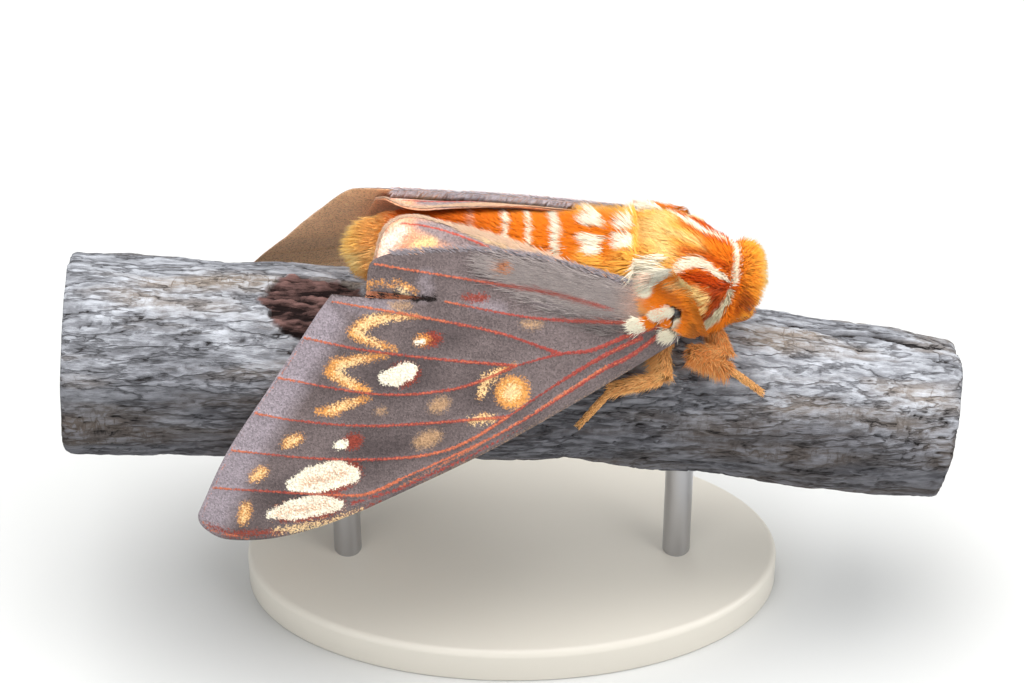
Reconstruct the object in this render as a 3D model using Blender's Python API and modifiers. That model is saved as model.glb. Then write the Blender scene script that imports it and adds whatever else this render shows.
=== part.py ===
"""Citheronia bellavista at rest on a cut branch, as a still, life-size display model.

The world has +Z up and its origin under the middle of the stand's base. Everything above
the stand is modelled in the perch frame: X runs along the branch towards the moth's head,
Z is the moth's back, and the origin lies on the branch's axis under the thorax. An empty
carries that frame's slope and height. Sizes are in millimetres and become metres when an
object is made.

A wing is drawn in its own roof plane: x along the body, v up the slope of the roof, and
depth w outwards from the branch's axis.
"""

import math
import random

import bmesh
import bpy
from mathutils import Matrix, Vector, geometry, noise

MM = 0.001
GAP = 0.3
ROOT_HALF = math.sqrt(0.5)

# Stand
BASE_LENGTH = 58.0
BASE_WIDTH = 31.0
BASE_HEIGHT = 4.5
BASE_EDGE = 0.8
ROD_RADIUS = 1.5
ROD_SPREAD = 18.0
ROD_SOCKET_DEPTH = 4.0
BASE_SOCKET_DEPTH = 2.5

# Perch
PERCH_HEIGHT = 33.0
PERCH_SLOPE = math.radians(6.0)
BRANCH_HALF_LENGTH = 46.0
BRANCH_BEND_X = 6.0
BRANCH_SLOPE_REAR = math.tan(math.radians(3.8))
BRANCH_SLOPE_FRONT = math.tan(math.radians(5.2))
BRANCH_RADIUS_REAR = 11.0
BRANCH_RADIUS_FRONT = 8.8
BARK_RELIEF = 0.7
BARK_GRAIN_ALONG = 0.09
BARK_GRAIN_ACROSS = 0.28
BARK_SCAR = (-20.5, -1.5, 9.0)
BARK_SCAR_RADIUS = 6.0
BARK_SCAR_HEIGHT = 0.9

# Body
BODY_AXIS_Z = 15.5
THORAX_REAR_X = 11.4
ABDOMEN_RADIUS = 4.3
ABDOMEN_END_X = -15.0
TAIL_CORE_X = -17.0
EYE_RADIUS = 1.15
EYE_PLACE = (22.9, 2.55, 14.1)

# Cores under the coat, (x, centre z, half width, half height); their locks reach further
THORAX_CORE = ((11.4, 15.6, 5.1, 4.9), (12.2, 15.6, 5.75, 5.3), (13.8, 15.2, 6.1, 5.4),
               (16.8, 14.5, 6.1, 5.2), (18.8, 14.0, 5.6, 5.0), (20.2, 13.9, 4.8, 4.7),
               (21.0, 13.9, 4.2, 4.3))
HEAD_CORE = ((21.3, 14.0, 3.9, 3.9), (22.0, 14.3, 3.7, 3.8), (23.0, 14.7, 3.1, 3.2),
             (23.8, 15.0, 2.4, 2.5), (24.4, 15.1, 1.3, 1.4))
THORAX_SIDES = 28
HEAD_SIDES = 22
ABDOMEN_SIDES = 24
THORAX_PIVOT = (16.0, 0.0, 15.5)
ABDOMEN_PIVOT = (0.0, 0.0, 15.5)
HEAD_PIVOT = (22.0, 0.0, 14.4)

# Coat locks
LOCK_SHARES = (0.0, 0.35, 0.7, 1.0)
LOCK_WIDTHS = (0.75, 1.0, 0.7)
LOCK_THICKNESS = 0.75
THORAX_SEED = 3
TAIL_SEED = 5
HEAD_SEED = 8

# Wings
VEIN_THICKNESS = 0.8
MEMBRANE_THICKNESS = 0.5
HINDWING_VEIN_THICKNESS = 0.7
VEIN_SHOULDER = 0.75
FOREWING_PIVOT = (14.0, 6.0, 16.0)
HINDWING_PIVOT = (11.5, 7.0, 15.0)
WING_RIDGE_DEPTH = 17.0
WING_CROWN = 0.8
WING_DROOP = 0.12
WING_SPACING = 1.05
WING_ROOT_SPACING = 0.3
HINDWING_WRAP_RADIUS = 5.1
OUTLINE_STEP = 2.2
VEIN_STEP = 2.6
NET_STEP = 3.6
WRAP_NET_STEP = 1.5

# Legs and feelers
TARSUS_RADIUS = 0.42
LEG_LOCK_THICKNESS = 0.55
CLAW_LENGTH = 0.9


def clear_scene():
    """Removes every object that the file starts with."""
    for obj in list(bpy.data.objects):
        bpy.data.objects.remove(obj, do_unlink=True)


def make_collection(name):
    """A new collection linked to the scene."""
    collection = bpy.data.collections.new(name)
    bpy.context.scene.collection.children.link(collection)
    return collection


def make_material(name, colour, roughness, metallic=0.0):
    """A Principled material of one colour."""
    material = bpy.data.materials.new(name)
    material.use_nodes = True
    shader = material.node_tree.nodes["Principled BSDF"]
    shader.inputs["Base Color"].default_value = (*colour, 1.0)
    shader.inputs["Roughness"].default_value = roughness
    shader.inputs["Metallic"].default_value = metallic
    material.diffuse_color = (*colour, 1.0)
    return material


class Model:
    """The collection, the empty and the materials that the builders share."""

    def __init__(self):
        clear_scene()
        self.parts = make_collection("citheronia_bellavista")
        self.perch = bpy.data.objects.new("perch_frame", None)
        self.perch.location = (0.0, 0.0, PERCH_HEIGHT * MM)
        self.perch.rotation_euler = (0.0, PERCH_SLOPE, 0.0)
        self.parts.objects.link(self.perch)
        self.finish = {
            "coat": make_material("orange_coat", (0.75, 0.16, 0.02), 0.9),
            "wing": make_material("wing_scales", (0.16, 0.13, 0.13), 0.85),
            "eye": make_material("eye_dark", (0.02, 0.012, 0.01), 0.25),
            "feeler": make_material("feeler_tan", (0.5, 0.2, 0.05), 0.7),
            "bark": make_material("grey_bark", (0.3, 0.27, 0.26), 0.95),
            "base": make_material("base_pale", (0.7, 0.68, 0.64), 0.5),
            "rod": make_material("rod_steel", (0.55, 0.55, 0.56), 0.3, 1.0),
        }

    def add(self, name, bm, finish, pivot=(0.0, 0.0, 0.0), on_perch=True):
        """Makes a part's object from a bmesh in millimetres, with its origin at the pivot."""
        origin = Vector(pivot)
        bm.transform(Matrix.Scale(MM, 4) @ Matrix.Translation(-origin))
        mesh = bpy.data.meshes.new(name)
        bm.to_mesh(mesh)
        bm.free()
        obj = bpy.data.objects.new(name, mesh)
        obj.location = origin * MM
        mesh.materials.append(self.finish[finish])
        self.parts.objects.link(obj)
        if on_perch:
            obj.parent = self.perch
        return obj


def scratch_object(bm, collection, name="piece"):
    """A loose object in millimetres, for a union or a cut."""
    mesh = bpy.data.meshes.new(name)
    bm.to_mesh(mesh)
    bm.free()
    obj = bpy.data.objects.new(name, mesh)
    obj.hide_render = True
    obj.display_type = "WIRE"
    collection.objects.link(obj)
    return obj


def evaluated_bmesh(obj):
    """A bmesh of an object with its modifiers applied."""
    bpy.context.view_layer.update()
    graph = bpy.context.evaluated_depsgraph_get()
    mesh = bpy.data.meshes.new_from_object(obj.evaluated_get(graph), depsgraph=graph)
    bm = bmesh.new()
    bm.from_mesh(mesh)
    bpy.data.meshes.remove(mesh)
    return bm


def keep_largest(bm):
    """Keeps only the largest closed surface of a bmesh."""
    groups = []
    left = set(bm.faces)
    while left:
        queue = [left.pop()]
        group = list(queue)
        while queue:
            for edge in queue.pop().edges:
                for face in edge.link_faces:
                    if face in left:
                        left.remove(face)
                        queue.append(face)
                        group.append(face)
        groups.append(group)
    largest = max(groups, key=lambda group: sum(face.calc_area() for face in group))
    keep = set(largest)
    bmesh.ops.delete(bm, geom=[f for f in bm.faces if f not in keep], context="FACES")
    return bm


def boolean(target, others, operation):
    """Joins or cuts a bmesh with a list of closed bmeshes, all in millimetres."""
    tools = make_collection("tools")
    body = scratch_object(target, bpy.context.scene.collection)
    for other in others:
        scratch_object(other, tools)
    modifier = body.modifiers.new("boolean", "BOOLEAN")
    modifier.operation = operation
    modifier.operand_type = "COLLECTION"
    modifier.collection = tools
    modifier.solver = "EXACT"
    result = keep_largest(evaluated_bmesh(body))
    for obj in [body, *tools.objects]:
        bpy.data.objects.remove(obj, do_unlink=True)
    bpy.data.collections.remove(tools)
    return result


def smooth_run(points, step):
    """Points about a step apart on a smooth curve through the given ones."""
    run = []
    last = len(points) - 1
    for index in range(last):
        before = points[max(index - 1, 0)]
        start, end = points[index], points[index + 1]
        after = points[min(index + 2, last)]
        count = max(1, round((Vector(end) - Vector(start)).length / step))
        for number in range(count):
            t = number / count
            run.append(tuple(
                0.5 * (2 * b + (c - a) * t + (2 * a - 5 * b + 4 * c - d) * t * t
                       + (3 * b - a - 3 * c + d) * t ** 3)
                for a, b, c, d in zip(before, start, end, after)))
    run.append(tuple(points[-1]))
    return run


def loft(rings):
    """A closed bmesh through rings of the same number of points."""
    bm = bmesh.new()
    rows = [[bm.verts.new(point) for point in ring] for ring in rings]
    sides = len(rows[0])
    for row, following in zip(rows, rows[1:]):
        for index in range(sides):
            after = (index + 1) % sides
            bm.faces.new((row[index], row[after], following[after], following[index]))
    bm.faces.new(rows[0][::-1])
    bm.faces.new(rows[-1])
    bmesh.ops.recalc_face_normals(bm, faces=bm.faces)
    return bm


def body_ring(x, centre_z, half_width, half_height, sides):
    """An oval ring of the body, square to its axis."""
    turns = [2 * math.pi * (index + 0.5) / sides for index in range(sides)]
    return [(x, half_width * math.sin(a), centre_z + half_height * math.cos(a)) for a in turns]


def turned_body(stations, sides):
    """A body lofted through (x, centre_z, half_width, half_height) stations."""
    return loft([body_ring(*station, sides) for station in stations])


def ball(centre, radius, segments=14, rings=8):
    """A sphere."""
    bm = bmesh.new()
    bmesh.ops.create_uvsphere(bm, u_segments=segments, v_segments=rings, radius=radius)
    bm.transform(Matrix.Translation(centre))
    return bm


def tube(path, radii, resolution=2):
    """A closed tube along a path, with a radius at each of its points."""
    curve = bpy.data.curves.new("tube", "CURVE")
    curve.dimensions = "3D"
    curve.bevel_depth = 1.0
    curve.bevel_resolution = resolution
    curve.use_fill_caps = True
    spline = curve.splines.new("POLY")
    spline.points.add(len(path) - 1)
    for point, place, radius in zip(spline.points, path, radii):
        point.co = (*place, 1.0)
        point.radius = radius
    obj = bpy.data.objects.new("tube", curve)
    bpy.context.scene.collection.objects.link(obj)
    bm = evaluated_bmesh(obj)
    bmesh.ops.remove_doubles(bm, verts=bm.verts, dist=1e-4)
    bmesh.ops.recalc_face_normals(bm, faces=bm.faces)
    bpy.data.objects.remove(obj, do_unlink=True)
    return bm


def mirrored(path, side):
    """A path of the right side, or its mirror image for the left one."""
    return [(x, y * side, z) for x, y, z in path]


def branch_axis_z(x):
    """Height of the branch's own axis, which bends slightly under the thorax."""
    reach = x - BRANCH_BEND_X
    slope = BRANCH_SLOPE_FRONT if reach > 0 else BRANCH_SLOPE_REAR
    return -abs(reach) * slope


def branch_radius(x):
    """Radius of the branch, which tapers towards the moth's head."""
    share = (x + BRANCH_HALF_LENGTH) / (2 * BRANCH_HALF_LENGTH)
    return BRANCH_RADIUS_REAR + (BRANCH_RADIUS_FRONT - BRANCH_RADIUS_REAR) * share


def branch_mesh():
    """The cut length of branch, with shallow lumps along its grain."""
    count = 32
    path = []
    for index in range(count + 1):
        x = BRANCH_HALF_LENGTH * (2 * index / count - 1)
        path.append((x, 0.0, branch_axis_z(x)))
    bm = tube(path, [branch_radius(place[0]) for place in path], resolution=8)
    scar = Vector(BARK_SCAR)
    for vert in bm.verts:
        centre = Vector((vert.co.x, 0.0, branch_axis_z(vert.co.x)))
        spoke = vert.co - centre
        grain = Vector((vert.co.x * BARK_GRAIN_ALONG, *(spoke.yz * BARK_GRAIN_ACROSS)))
        sunk = BARK_RELIEF * (0.5 + noise.noise(grain))
        raised = BARK_SCAR_HEIGHT * max(0.0, 1.0 - (vert.co - scar).length / BARK_SCAR_RADIUS)
        vert.co += spoke.normalized() * (raised - sunk)
    return bm


def rod_places():
    """World (x, bottom z, top z) of each rod, sunk into the base and the branch."""
    places = []
    for x in (ROD_SPREAD, -ROD_SPREAD):
        along = x / math.cos(PERCH_SLOPE)
        axis = PERCH_HEIGHT - along * math.sin(PERCH_SLOPE) + branch_axis_z(along)
        underside = axis - branch_radius(along)
        places.append((x, BASE_HEIGHT - BASE_SOCKET_DEPTH, underside + ROD_SOCKET_DEPTH))
    return places


def upright(x, bottom, top, radius, segments=20):
    """An upright cylinder in world millimetres."""
    bm = bmesh.new()
    bmesh.ops.create_cone(bm, cap_ends=True, segments=segments, radius1=radius, radius2=radius,
                          depth=top - bottom)
    bm.transform(Matrix.Translation((x, 0.0, (top + bottom) / 2)))
    return bm


def perch_matrix():
    """From the perch frame to the world, in millimetres."""
    return Matrix.Translation((0.0, 0.0, PERCH_HEIGHT)) @ Matrix.Rotation(PERCH_SLOPE, 4, "Y")


def build_stand(model):
    """The base, its two rods, and the branch that they carry."""
    base = bmesh.new()
    bmesh.ops.create_cone(base, cap_ends=True, segments=56, radius1=0.5, radius2=0.5, depth=1.0)
    base.transform(Matrix.Translation((0.0, 0.0, BASE_HEIGHT / 2))
                   @ Matrix.Diagonal((BASE_LENGTH, BASE_WIDTH, BASE_HEIGHT, 1.0)))
    rim = [edge for edge in base.edges if all(vert.co.z > BASE_HEIGHT / 2 for vert in edge.verts)]
    bmesh.ops.bevel(base, geom=rim, offset=BASE_EDGE, segments=2, profile=0.5, affect="EDGES")
    branch = branch_mesh()
    base_sockets = []
    branch_sockets = []
    for name, (x, bottom, top) in zip(("stand_rod_front", "stand_rod_rear"), rod_places()):
        rod = upright(x, bottom + GAP, top - GAP, ROD_RADIUS)
        model.add(name, rod, "rod", (x, 0.0, bottom + GAP), on_perch=False)
        base_sockets.append(upright(x, bottom, BASE_HEIGHT + 2.0, ROD_RADIUS + GAP))
        socket = upright(x, bottom, top, ROD_RADIUS + GAP)
        socket.transform(perch_matrix().inverted())
        branch_sockets.append(socket)
    model.add("stand_base", boolean(base, base_sockets, "DIFFERENCE"), "base", on_perch=False)
    model.add("perch_branch", boolean(branch, branch_sockets, "DIFFERENCE"), "bark")


def grown(core, grow):
    """A core's stations made larger all round, for the clearance of what meets it."""
    stations = [(x, z, width + grow, height + grow) for x, z, width, height in core]
    first, last = stations[0], stations[-1]
    return [(first[0] - grow, *first[1:]), *stations, (last[0] + grow, *last[1:])]


def thorax_clearance():
    """The thorax's core with the gap that what meets it keeps."""
    return turned_body(grown(THORAX_CORE, GAP), THORAX_SIDES)


def station_at(core, x):
    """Centre z, half width and half height of a core at x, held past its ends."""
    if x <= core[0][0]:
        return core[0][1:]
    for lower, upper in zip(core, core[1:]):
        if x <= upper[0]:
            share = (x - lower[0]) / (upper[0] - lower[0])
            return tuple(a + (b - a) * share for a, b in zip(lower[1:], upper[1:]))
    return core[-1][1:]


def flat_lock(path, normals, width, thickness=LOCK_THICKNESS):
    """A flat tapered lock: three thin diamond sections and a point."""
    rings = []
    for index, share in enumerate(LOCK_WIDTHS):
        along = (path[index + 1] - path[index]).normalized()
        side = along.cross(normals[index]).normalized() * width * share / 2
        up = normals[index] * thickness * share / 2
        rings.append([path[index] + side, path[index] + up, path[index] - side, path[index] - up])
    bm = loft(rings)
    bm.faces.ensure_lookup_table()
    bmesh.ops.poke(bm, faces=[bm.faces[-1]])["verts"][0].co = path[-1]
    return bm


def coat_lock(core, start, end, turn, width, lifts):
    """A lock over a core from x start to x end, at a turn from its back, (first, last) degrees."""
    path, normals = [], []
    for share, lift in zip(LOCK_SHARES, lifts):
        x = start + (end - start) * share
        angle = math.radians(turn[0] + (turn[1] - turn[0]) * share)
        centre, half_width, half_height = station_at(core, x)
        across = (half_width + lift) * math.sin(angle)
        height = centre + (half_height + lift) * math.cos(angle)
        path.append(Vector((x, across, height)))
        normals.append(Vector((0.0, math.sin(angle), math.cos(angle))))
    return flat_lock(path, normals, width)


def lock_rows(core, rows, seed):
    """Locks in rows: (start x, end x, turns, spread, width, lifts), each a little varied."""
    draw = random.Random(seed)
    locks = []
    for start, end, turns, spread, width, lifts in rows:
        for turn in turns:
            first = turn + draw.uniform(-2.5, 2.5)
            last = turn * (1.0 + spread) + draw.uniform(-4.0, 4.0)
            tip = end + (start - end) * draw.uniform(-0.08, 0.12)
            lock_width = width * draw.uniform(0.92, 1.08)
            locks.append(coat_lock(core, start, tip, (first, last), lock_width, lifts))
    return locks


def abdomen_stations():
    """Stations of the abdomen, from the core of its tail tuft to the thorax."""
    stations = [(TAIL_CORE_X, BODY_AXIS_Z - 0.5, 1.7, 1.8),
                (ABDOMEN_END_X - 0.8, BODY_AXIS_Z - 0.3, 2.7, 2.9)]
    front = THORAX_REAR_X - GAP
    rings = 9
    for index in range(rings):
        share = index / (rings - 1)
        x = ABDOMEN_END_X + (front - ABDOMEN_END_X) * share
        radius = ABDOMEN_RADIUS * (0.86 + 0.14 * math.sin(math.pi / 2 * min(1.0, share * 2.2)))
        stations.append((x, BODY_AXIS_Z, radius, radius))
    return stations


# Rows of locks: start x, end x, turns from the back in degrees, spread, width, lifts from the core
SHOULDER_LIFTS = (-0.6, 0.35, 0.85, 0.9)
THORAX_ROWS = (
    (20.6, 17.4, (-97, -73, -49, -25, 0, 25, 49, 73, 97), 0.0, 2.7, (-0.6, 0.35, 0.75, 0.6)),
    (19.0, 14.9, (-46, -23, 0, 23, 46), 0.0, 2.7, SHOULDER_LIFTS),
    (17.0, 12.7, (-36, -12, 12, 36), 0.0, 2.8, SHOULDER_LIFTS),
    (14.6, 9.9, (-38, -13, 13, 38), 0.0, 2.6, (-0.6, 0.4, 1.1, 1.4)),
)
HEAD_ROWS = (
    (21.9, 24.5, (-163, -60, -36, -12, 12, 36, 60, 163), -0.1, 2.1, (-0.5, 0.35, 0.7, 0.9)),
    (23.2, 25.0, (-62, -20, 20, 62, 180), -0.1, 1.7, (-0.5, 0.3, 0.5, 0.3)),
)
TAIL_ROWS = (
    (-13.6, -17.4, range(-165, 166, 30), 0.0, 2.1, (-0.7, 0.0, 0.25, 0.5)),
    (-14.9, -18.6, range(-160, 161, 40), 0.0, 1.9, (-0.7, 0.1, 0.3, 0.1)),
    (-16.2, -19.3, range(-140, 141, 70), 0.0, 1.5, (-1.0, -0.5, -0.3, -0.6)),
)


def build_body(model):
    """Thorax, abdomen, head and eyes."""
    thorax = turned_body(THORAX_CORE, THORAX_SIDES)
    thorax = boolean(thorax, lock_rows(THORAX_CORE, THORAX_ROWS, THORAX_SEED), "UNION")
    model.add("thorax", thorax, "coat", THORAX_PIVOT)
    stations = abdomen_stations()
    abdomen = turned_body(stations, ABDOMEN_SIDES)
    abdomen = boolean(abdomen, lock_rows(stations, TAIL_ROWS, TAIL_SEED), "UNION")
    model.add("abdomen", abdomen, "coat", ABDOMEN_PIVOT)
    head = turned_body(HEAD_CORE, HEAD_SIDES)
    head = boolean(head, lock_rows(HEAD_CORE, HEAD_ROWS, HEAD_SEED), "UNION")
    sockets = []
    for name, side in (("eye_right", -1), ("eye_left", 1)):
        centre = (EYE_PLACE[0], EYE_PLACE[1] * side, EYE_PLACE[2])
        model.add(name, ball(centre, EYE_RADIUS), "eye", centre)
        sockets.append(ball(centre, EYE_RADIUS + GAP))
    model.add("head", boolean(head, sockets, "DIFFERENCE"), "coat", HEAD_PIVOT)


# Forewing outline in its roof plane, (x, v): smooth runs that meet at corners
COSTA = ((16.3, 4.1), (10.8, 0.2), (5.7, -3.4), (-1.9, -8.5), (-9.5, -13.0), (-17.1, -17.2),
         (-23.0, -19.5), (-27.9, -20.2), (-30.3, -19.5), (-31.4, -18.2), (-30.9, -16.3),
         (-28.8, -10.8), (-24.7, -3.3), (-20.9, 3.8))
WHOLE_TORNUS = ((-20.9, 3.8), (-18.9, 7.9), (-16.8, 9.8), (-13.9, 10.3))
TORN_STEP = ((-20.9, 3.8), (-19.7, 5.7))
TEAR = ((-19.7, 5.7), (-16.4, 5.6), (-12.5, 5.7), (-9.4, 5.95), (-12.5, 6.15), (-16.3, 6.3))
TORN_FLAP = ((-16.3, 6.3), (-16.1, 9.1), (-13.9, 10.3))
INNER = ((-13.9, 10.3), (-6.0, 11.3), (0.4, 11.1), (7.6, 9.8), (11.2, 8.9))
FOREWING_ROOT = ((11.2, 8.9), (13.6, 9.8), (15.8, 8.2), (17.0, 5.6), (16.3, 4.1))
FORK = (-0.7, -0.1)
RADIAL_FORK = (-1.0, -5.3)
STEM_FORK = (3.6, 1.4)
COSTAL_FORK = (-11.3, -12.5)
FOREWING_VEINS = (
    ((8.5, 6.2), (3.0, 7.3), (-4.5, 8.0), (-11.4, 8.6), (-14.8, 8.9)),
    ((11.5, 5.1), (4.8, 4.8), (-1.0, 4.9), (-8.4, 5.8)),
    (STEM_FORK, (-3.0, 3.1), (-11.0, 4.1), (-18.2, 4.8)),
    (FORK, (-9.0, 0.0), (-16.6, 0.4), (-21.6, 1.1)),
    (FORK, (-6.4, -2.8), (-14.2, -4.0), (-23.6, -3.2)),
    (RADIAL_FORK, (-14.0, -7.2), (-22.0, -7.3), (-25.8, -6.9)),
    (RADIAL_FORK, (-5.9, -8.7), (-11.4, -10.3), (-19.7, -11.0), (-28.0, -10.9)),
    (COSTAL_FORK, (-14.1, -14.1), (-17.4, -14.6), (-29.4, -14.9)),
    ((13.5, 5.0), (10.2, 3.7), (6.7, 2.0), STEM_FORK, FORK),
    ((12.4, 3.6), (8.3, 1.4), (3.9, -1.4), RADIAL_FORK),
    ((12.2, 2.6), (7.9, 0.0), (4.1, -2.9), (-1.9, -7.2), COSTAL_FORK),
)
WHOLE_VEIN_END = ((-8.4, 5.8), (-13.5, 6.5), (-18.6, 7.1))

HINDWING_INNER = ((-16.0, 8.0), (-15.7, 10.4), (-15.1, 12.7), (-13.6, 14.0), (-11.4, 14.3),
                  (-8.4, 13.7), (-2.3, 12.4), (4.5, 10.4), (9.5, 8.6))
HINDWING_ROOT = ((9.5, 8.6), (12.8, 8.0), (12.8, 6.6), (8.5, 4.6))
HINDWING_VEINS = (
    ((9.0, 6.8), (-4.0, 11.4), (-9.6, 13.0), (-13.2, 13.3)),
    ((9.0, 6.8), (-3.0, 8.4), (-15.2, 9.4)),
    ((9.0, 6.8), (-2.0, 4.9), (-15.8, 4.6)),
    ((2.4, 5.6), (-7.0, 1.6), (-16.6, 0.6)),
    ((2.4, 5.6), (-6.0, -1.2), (-16.6, -4.2)),
    ((9.0, 6.0), (2.0, 0.6), (-5.0, -4.6), (-13.6, -8.0)),
)
HINDWING_COSTA = ((8.5, 4.6), (2.0, -1.0), (-5.0, -6.0), (-11.0, -9.0), (-14.8, -9.2),
                  (-17.0, -6.0), (-17.4, -1.0), (-16.5, 4.5), (-16.0, 8.0))


def costal_line(x):
    """v of the forewing's leading edge."""
    return -7.4 + 0.587 * x + 0.0055 * x * x


def inner_line(x):
    """v of the forewing's trailing edge."""
    return max(8.6, 11.2 - 0.012 * (x + 4.0) ** 2)


def forewing_depth(x, v):
    """Depth of the forewing's middle surface: a tilted chord, a crown and a droop."""
    leading = 13.5 - 0.0075 * (x - 6.0) ** 2
    trailing = WING_RIDGE_DEPTH - 0.0012 * (x + 1.0) ** 2
    chord = max(inner_line(x) - costal_line(x), 0.5)
    share = min(1.0, max(-0.1, (v - costal_line(x)) / chord))
    crown = 4 * WING_CROWN * share * (1 - share)
    outward = min(1.0, max(0.0, (12.0 - x) / 25.0))
    droop = WING_DROOP * (9.0 - min(9.0, max(-3.0, v))) * outward
    return leading + (trailing - leading) * share + crown - droop


def hindwing_depth(x, v):
    """Depth of the hindwing: under the forewing, then round the abdomen's shoulder."""
    near_root = min(1.0, max(0.0, (x - 5.0) / 6.0))
    under = forewing_depth(x, v) - WING_SPACING - WING_ROOT_SPACING * near_root
    axis = BODY_AXIS_Z * ROOT_HALF
    over = max(0.0, v - axis)
    wrap = axis + math.sqrt(max(HINDWING_WRAP_RADIUS ** 2 - over * over, 1.0))
    return min(under, wrap)


def roof_point(x, v, w, side):
    """Perch-frame place of a point on a wing, right side -1 and left side +1."""
    return Vector((x, side * (w - v) * ROOT_HALF, (w + v) * ROOT_HALF))


def closed_outline(runs, step):
    """One loop of outline points from smooth runs that join at corners."""
    loop = []
    for run in runs:
        loop += smooth_run(run, step)[:-1]
    return [Vector(point) for point in loop]


class WingNet:
    """The points and vein lines of a wing in its roof plane, for one triangulation."""

    def __init__(self, runs, veins):
        self.points = closed_outline(runs, OUTLINE_STEP)
        self.ring = list(range(len(self.points)))
        self.lines = []
        for vein in veins:
            self.add_vein([Vector(point) for point in smooth_run(vein, VEIN_STEP)])
        for start, end in list(self.lines):
            self.add_shoulders(self.points[start], self.points[end])
        self.add_rows()

    def nearest(self, point):
        """Index and distance of the point that lies nearest."""
        index = min(range(len(self.points)), key=lambda i: (self.points[i] - point).length_squared)
        return index, (self.points[index] - point).length

    def add_vein(self, line):
        """A vein's points and segments, joined to a vein that it meets."""
        previous = None
        for point in line:
            index, distance = self.nearest(point)
            if distance > VEIN_SHOULDER * 0.6 or index in self.ring:
                index = len(self.points)
                self.points.append(point)
            if previous is not None and previous != index:
                self.lines.append((previous, index))
            previous = index

    def add_shoulders(self, start, end):
        """Points beside a vein, where its ridge runs out into the membrane."""
        middle = (start + end) / 2
        across = (end - start).normalized().orthogonal() * VEIN_SHOULDER
        for place in (middle + across, middle - across):
            if self.nearest(place)[1] > VEIN_SHOULDER * 0.8:
                self.points.append(place)

    def add_rows(self):
        """Points over the rest of the membrane, closer where it wraps the abdomen."""
        low = [min(point[axis] for point in self.points) for axis in (0, 1)]
        high = [max(point[axis] for point in self.points) for axis in (0, 1)]
        columns = math.ceil((high[0] - low[0]) / NET_STEP)
        v = low[1]
        odd = False
        while v < high[1]:
            row_step = WRAP_NET_STEP if v > BODY_AXIS_Z * ROOT_HALF - NET_STEP else NET_STEP
            for column in range(columns + 1):
                point = Vector((low[0] + (column + 0.5 * odd) * NET_STEP, v))
                if self.nearest(point)[1] > row_step * 0.5:
                    self.points.append(point)
            v += row_step
            odd = not odd

    def on_vein(self, point):
        """Whether a point lies on a vein's centre line."""
        for start, end in self.lines:
            closest, share = geometry.intersect_point_line(point, self.points[start], self.points[end])
            if 0.0 <= share <= 1.0 and (closest.to_2d() - point).length < 0.02:
                return True
        return any((point - self.points[index]).length < 0.02 for line in self.lines for index in line)


def wing_mesh(net, depth, side, vein_thickness):
    """A thin curved vane with raised veins, split alike on both faces."""
    verts, _, faces, _, _, _ = geometry.delaunay_2d_cdt(net.points, net.lines, [net.ring], 1, 1e-5)
    bm = bmesh.new()
    weights = bm.verts.layers.deform.verify()
    made = []
    for point in verts:
        vert = bm.verts.new(roof_point(point.x, point.y, depth(point.x, point.y), side))
        vert[weights][0] = 1.0 if net.on_vein(point) else MEMBRANE_THICKNESS / vein_thickness
        made.append(vert)
    for face in faces:
        bm.faces.new([made[index] for index in face])
    bmesh.ops.delete(bm, geom=[v for v in bm.verts if not v.link_faces], context="VERTS")
    bmesh.ops.recalc_face_normals(bm, faces=bm.faces)
    sheet = scratch_object(bm, bpy.context.scene.collection)
    sheet.vertex_groups.new(name="thickness")
    thick = sheet.modifiers.new("thickness", "SOLIDIFY")
    thick.thickness = vein_thickness
    thick.offset = 0.0
    thick.vertex_group = "thickness"
    solid = evaluated_bmesh(sheet)
    bpy.data.objects.remove(sheet, do_unlink=True)
    return solid


def build_wings(model):
    """The four wings, each cut back at its root to meet the thorax face to face."""
    for side_name, side in (("right", -1), ("left", 1)):
        tornus = (TORN_STEP, TEAR, TORN_FLAP) if side < 0 else (WHOLE_TORNUS,)
        veins = FOREWING_VEINS if side < 0 else (*FOREWING_VEINS, WHOLE_VEIN_END)
        net = WingNet((COSTA, *tornus, INNER, FOREWING_ROOT), veins)
        vane = wing_mesh(net, forewing_depth, side, VEIN_THICKNESS)
        forewing = boolean(vane, [thorax_clearance()], "DIFFERENCE")
        model.add("forewing_" + side_name, forewing, "wing", roof_point(*FOREWING_PIVOT, side))
        net = WingNet((HINDWING_INNER, HINDWING_ROOT, HINDWING_COSTA), HINDWING_VEINS)
        vane = wing_mesh(net, hindwing_depth, side, HINDWING_VEIN_THICKNESS)
        hindwing = boolean(vane, [thorax_clearance()], "DIFFERENCE")
        model.add("hindwing_" + side_name, hindwing, "wing", roof_point(*HINDWING_PIVOT, side))


# Leg joints on the right side, in the perch frame: hip, elbow of the hip, knee, ankle, foot
LEG_JOINTS = {
    "front": ((19.3, -3.2, 11.2), (20.9, -5.8, 9.5), (17.3, -6.5, 10.2), (21.3, -6.4, 8.2),
              (25.3, -6.7, 5.3)),
    "middle": ((15.2, -3.2, 10.6), (14.4, -5.6, 9.3), (14.7, -8.6, 8.5), (9.6, -8.9, 6.4),
               (6.6, -10.1, 1.8)),
    "hind": ((12.8, -3.2, 10.9), (10.8, -5.2, 10.2), (5.4, -6.8, 10.6), (-1.2, -9.2, 5.6),
             (-6.2, -10.7, 1.4)),
}
LEG_RADII = {"front": (1.0, 0.95, 0.85), "middle": (0.95, 0.85, 0.75), "hind": (0.95, 0.85, 0.75)}

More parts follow.
